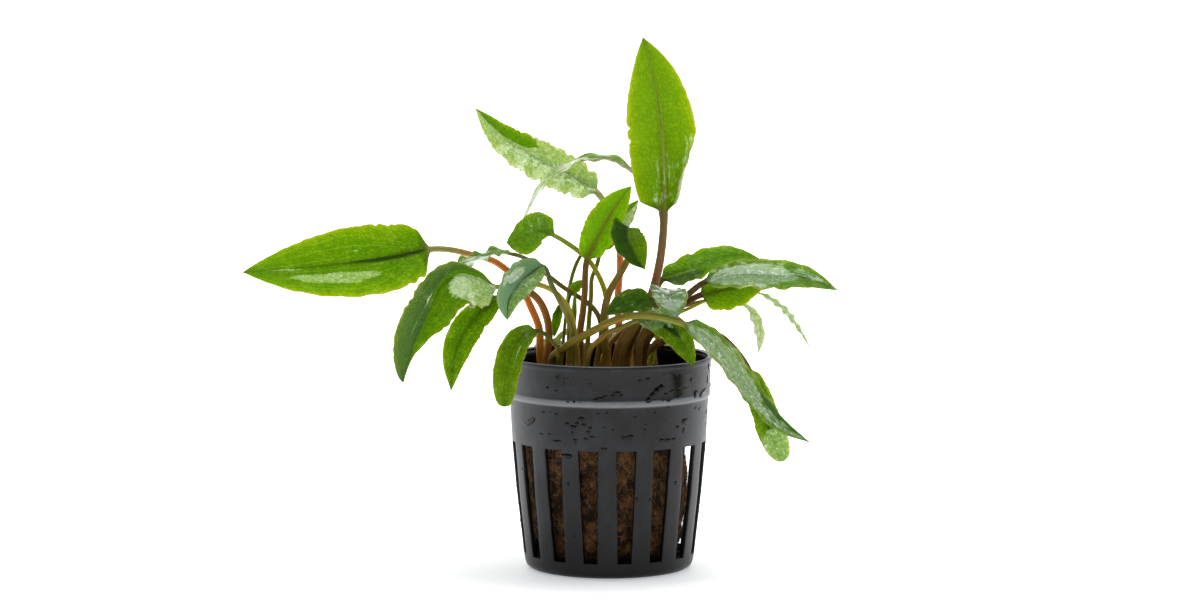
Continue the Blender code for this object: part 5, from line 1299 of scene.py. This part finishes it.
studio = {
    "camera": (-2.28, -1100.0, 185.05), "pitch": math.degrees(math.atan(118 / 1100)), "lens": 133.44,
    # name, place (m), aimed at (m), size (m), power (W)
    "lamps": [
        ("topBox", (0.0, 0.12, 0.85), (0, 0, 0.06), (0.75, 0.6), 3.6),
        ("backBox", (0.0, 0.9, 0.35), (0, 0, 0.08), (1.3, 0.7), 3.4),
        ("leftBox", (-0.75, 0.25, 0.3), (0, 0, 0.05), (0.45, 0.6), 1.3),
        ("rightBox", (0.75, 0.25, 0.3), (0, 0, 0.05), (0.45, 0.6), 1.3),
        ("frontFill", (-0.3, -1.1, 0.6), (0, 0, 0.07), (0.5, 0.4), 1.3),
        ("crownFill", (0.12, -0.7, 0.42), (0, 0, 0.05), (0.25, 0.2), 0.3),
    ],
    "air": 0.1, "backdrop": 1.05,
}


def lightStudio():
    for name, place, target, size, power in studio["lamps"]:
        lamp = bpy.data.lights.new(name, "AREA")
        lamp.shape = "RECTANGLE"
        lamp.size, lamp.size_y = size
        lamp.energy = power
        thing = bpy.data.objects.new(name, lamp)
        thing.location = place
        thing.rotation_euler = (Vector(target) - Vector(place)).to_track_quat("-Z", "Y").to_euler()
        thing.visible_camera = False
        bpy.context.scene.collection.objects.link(thing)
    world = bpy.data.worlds.new("studioAir")
    bpy.context.scene.world = world
    world.use_nodes = True
    tree = world.node_tree
    tree.nodes.clear()
    rays = tree.nodes.new("ShaderNodeLightPath")
    soft, white = tree.nodes.new("ShaderNodeBackground"), tree.nodes.new("ShaderNodeBackground")
    soft.inputs["Strength"].default_value = studio["air"]
    soft.inputs["Color"].default_value = (1, 1, 1, 1)
    white.inputs["Strength"].default_value = studio["backdrop"]
    white.inputs["Color"].default_value = (1, 1, 1, 1)
    mixer = tree.nodes.new("ShaderNodeMixShader")
    final = tree.nodes.new("ShaderNodeOutputWorld")
    tree.links.new(rays.outputs["Is Camera Ray"], mixer.inputs[0])
    tree.links.new(soft.outputs[0], mixer.inputs[1])
    tree.links.new(white.outputs[0], mixer.inputs[2])
    tree.links.new(mixer.outputs[0], final.inputs[0])
    bpy.context.scene.view_settings.view_transform = "Standard"
    bpy.context.scene.view_settings.look = "Medium High Contrast"


def layFloor():
    bm = bmesh.new()
    bmesh.ops.create_circle(bm, cap_ends=True, segments=96, radius=1.6)
    bmesh.ops.translate(bm, verts=bm.verts, vec=(0, 0, -0.00005))
    mesh = bpy.data.meshes.new("floor")
    bm.to_mesh(mesh)
    bm.free()
    floor = bpy.data.objects.new("floor", mesh)
    bpy.context.scene.collection.objects.link(floor)
    f = Finish("floorWhite")
    # painted shadow: the floor's glow is dimmer near the pot, shifted left
    spot = f.node("ShaderNodeVectorMath", {"operation": "ADD"}, 0, f.node("ShaderNodeTexCoord", {}, "Object"), (0.012, 0.0, 0.0))
    away = f.node("ShaderNodeVectorMath", {"operation": "LENGTH"}, "Value", spot)
    f.close(Base_Color=(0.8, 0.8, 0.8), Roughness=0.6 + f.grain(30.0) * 0.1, Specular_IOR_Level=0.2,
            Emission_Color=f.blend(away.band(0.02, 0.1), (0.34, 0.35, 0.36), (1.0, 1.0, 1.0)), Emission_Strength=1.0)
    mesh.materials.append(f.material)


def setCamera():
    lens = bpy.data.cameras.new("camera")
    lens.lens = studio["lens"]
    lens.sensor_width = 36.0
    lens.clip_start, lens.clip_end = 0.01, 50.0
    camera = bpy.data.objects.new("camera", lens)
    camera.location = Vector(studio["camera"]) * mm
    camera.rotation_euler = (math.radians(90 - studio["pitch"]), 0, 0)
    bpy.context.scene.collection.objects.link(camera)
    bpy.context.scene.camera = camera


lightStudio()
layFloor()
setCamera()
print("studio ready")
makePot()
makeDrops()
makeWool()
makeStub()
makeSlotScrap()
print("pot, drops, wool, stub and scrap ready")
for leaf in leaves:
    growLeaf(**leaf)
growLeaf(**sheathScrap)
print("leaves ready:", len(leaves))
